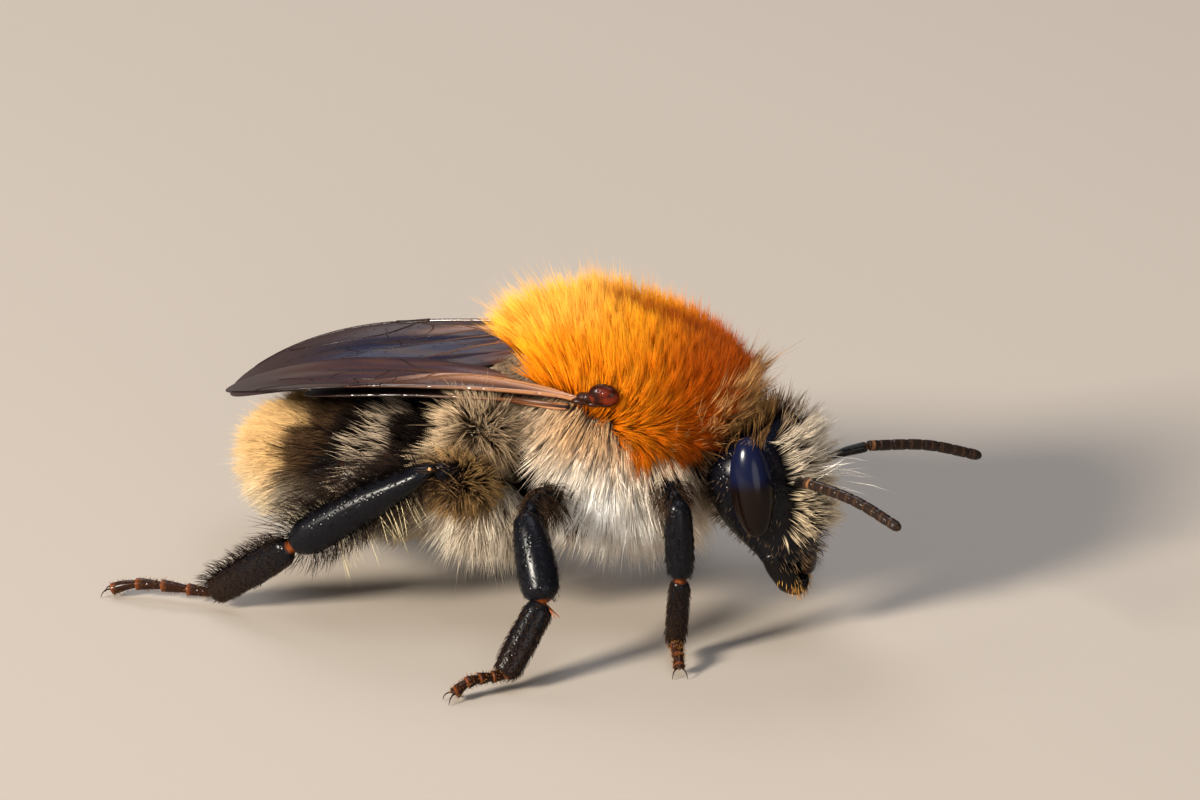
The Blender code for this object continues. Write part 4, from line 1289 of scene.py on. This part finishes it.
# golden hairs on the jaws' tips
jawRoots = gathered([scatter(jawForms[side], 70, lambda p, n: ease(-2.9, -3.2, faceFrom(p)[0])
                             * ease(-0.2, 0.3, faceFrom(p + n)[1] - faceFrom(p)[1]), 61)
                     for side in sides])
p, n = jawRoots["p"], jawRoots["n"]
hairCoat("jawHairs", jawRoots, unit(n * 0.4 - zAxis), unit(n * 0.15 - zAxis + xAxis * 0.1), 0.3, 0.011,
         [shades(p, mane["dark"]), shades(p, mane["glint"]), shades(p, mane["glint"])], "head_coat",
         gather=0.3, crowd=5, rings=2)
print("coat made")

# floor, camera, lamps and world
stand = dict(half=0.8, azimuth=18.0, elevation=22.0, distance=0.2, target=(-0.4, 0.0, 6.293),
             sensor=36.0, width=34.2, floor=(0.38, 0.325, 0.27, 1.0), world=(0.62, 0.7, 0.85, 1.0),
             worldStrength=0.16)
floorPaint = bpy.data.materials.new("stageFloor")
floorPaint.use_nodes = True
floorPaint.node_tree.nodes["Principled BSDF"].inputs["Base Color"].default_value = stand["floor"]
floorPaint.node_tree.nodes["Principled BSDF"].inputs["Roughness"].default_value = 0.8
floorMesh = bpy.data.meshes.new("floor")
edge = stand["half"]
floorMesh.from_pydata([(-edge, -edge, 0), (edge, -edge, 0), (edge, edge, 0), (-edge, edge, 0)], [],
                      [(0, 1, 2, 3)])
floorMesh.materials.append(floorPaint)
placed("floor", floorMesh)
target = Vector(np.array(stand["target"]) * mm + beeOrigin)


def aimed(name, data, way, distance):
    # an object at a distance from the target along the way, looking back at it
    thing = placed(name, data)
    thing.location = target + way * distance
    thing.rotation_mode = "QUATERNION"
    thing.rotation_quaternion = (-way).to_track_quat("-Z", "Y")
    return thing


turn, tilt = radians(stand["azimuth"]), radians(stand["elevation"])
back = Vector((sin(turn) * cos(tilt), -cos(turn) * cos(tilt), sin(tilt)))
cameraData = bpy.data.cameras.new("camera")
cameraData.sensor_width = stand["sensor"]
cameraData.lens = stand["sensor"] * stand["distance"] / (stand["width"] * mm)
cameraData.clip_start = 0.01
bpy.context.scene.camera = aimed("camera", cameraData, back, stand["distance"])

# soft lamps, each (way to it, distance, width, power, colour)
lamps = dict(
    key=((-0.52, -0.74, 0.42), 0.45, 0.1, 4.9, (1.0, 0.93, 0.82)),
    sky=((0.1, -0.1, 1.0), 0.5, 0.36, 1.2, (0.8, 0.87, 1.0)),
    back=((-0.5, 0.6, 0.9), 0.5, 0.25, 0.8, (0.95, 0.95, 1.0)),
    fill=((0.5, -0.95, 0.2), 0.5, 0.3, 0.8, (1.0, 0.95, 0.9)))
for name, (way, away, size, watts, colour) in lamps.items():
    data = bpy.data.lights.new(name, "AREA")
    data.shape = "DISK"
    data.size = size
    data.energy = watts
    data.color = colour
    aimed(name, data, Vector(way).normalized(), away)
world = bpy.data.worlds.new("studio")
world.use_nodes = True
world.node_tree.nodes["Background"].inputs["Color"].default_value = stand["world"]
world.node_tree.nodes["Background"].inputs["Strength"].default_value = stand["worldStrength"]
bpy.context.scene.world = world
bpy.context.scene.view_settings.view_transform = "Standard"
print("stage ready")
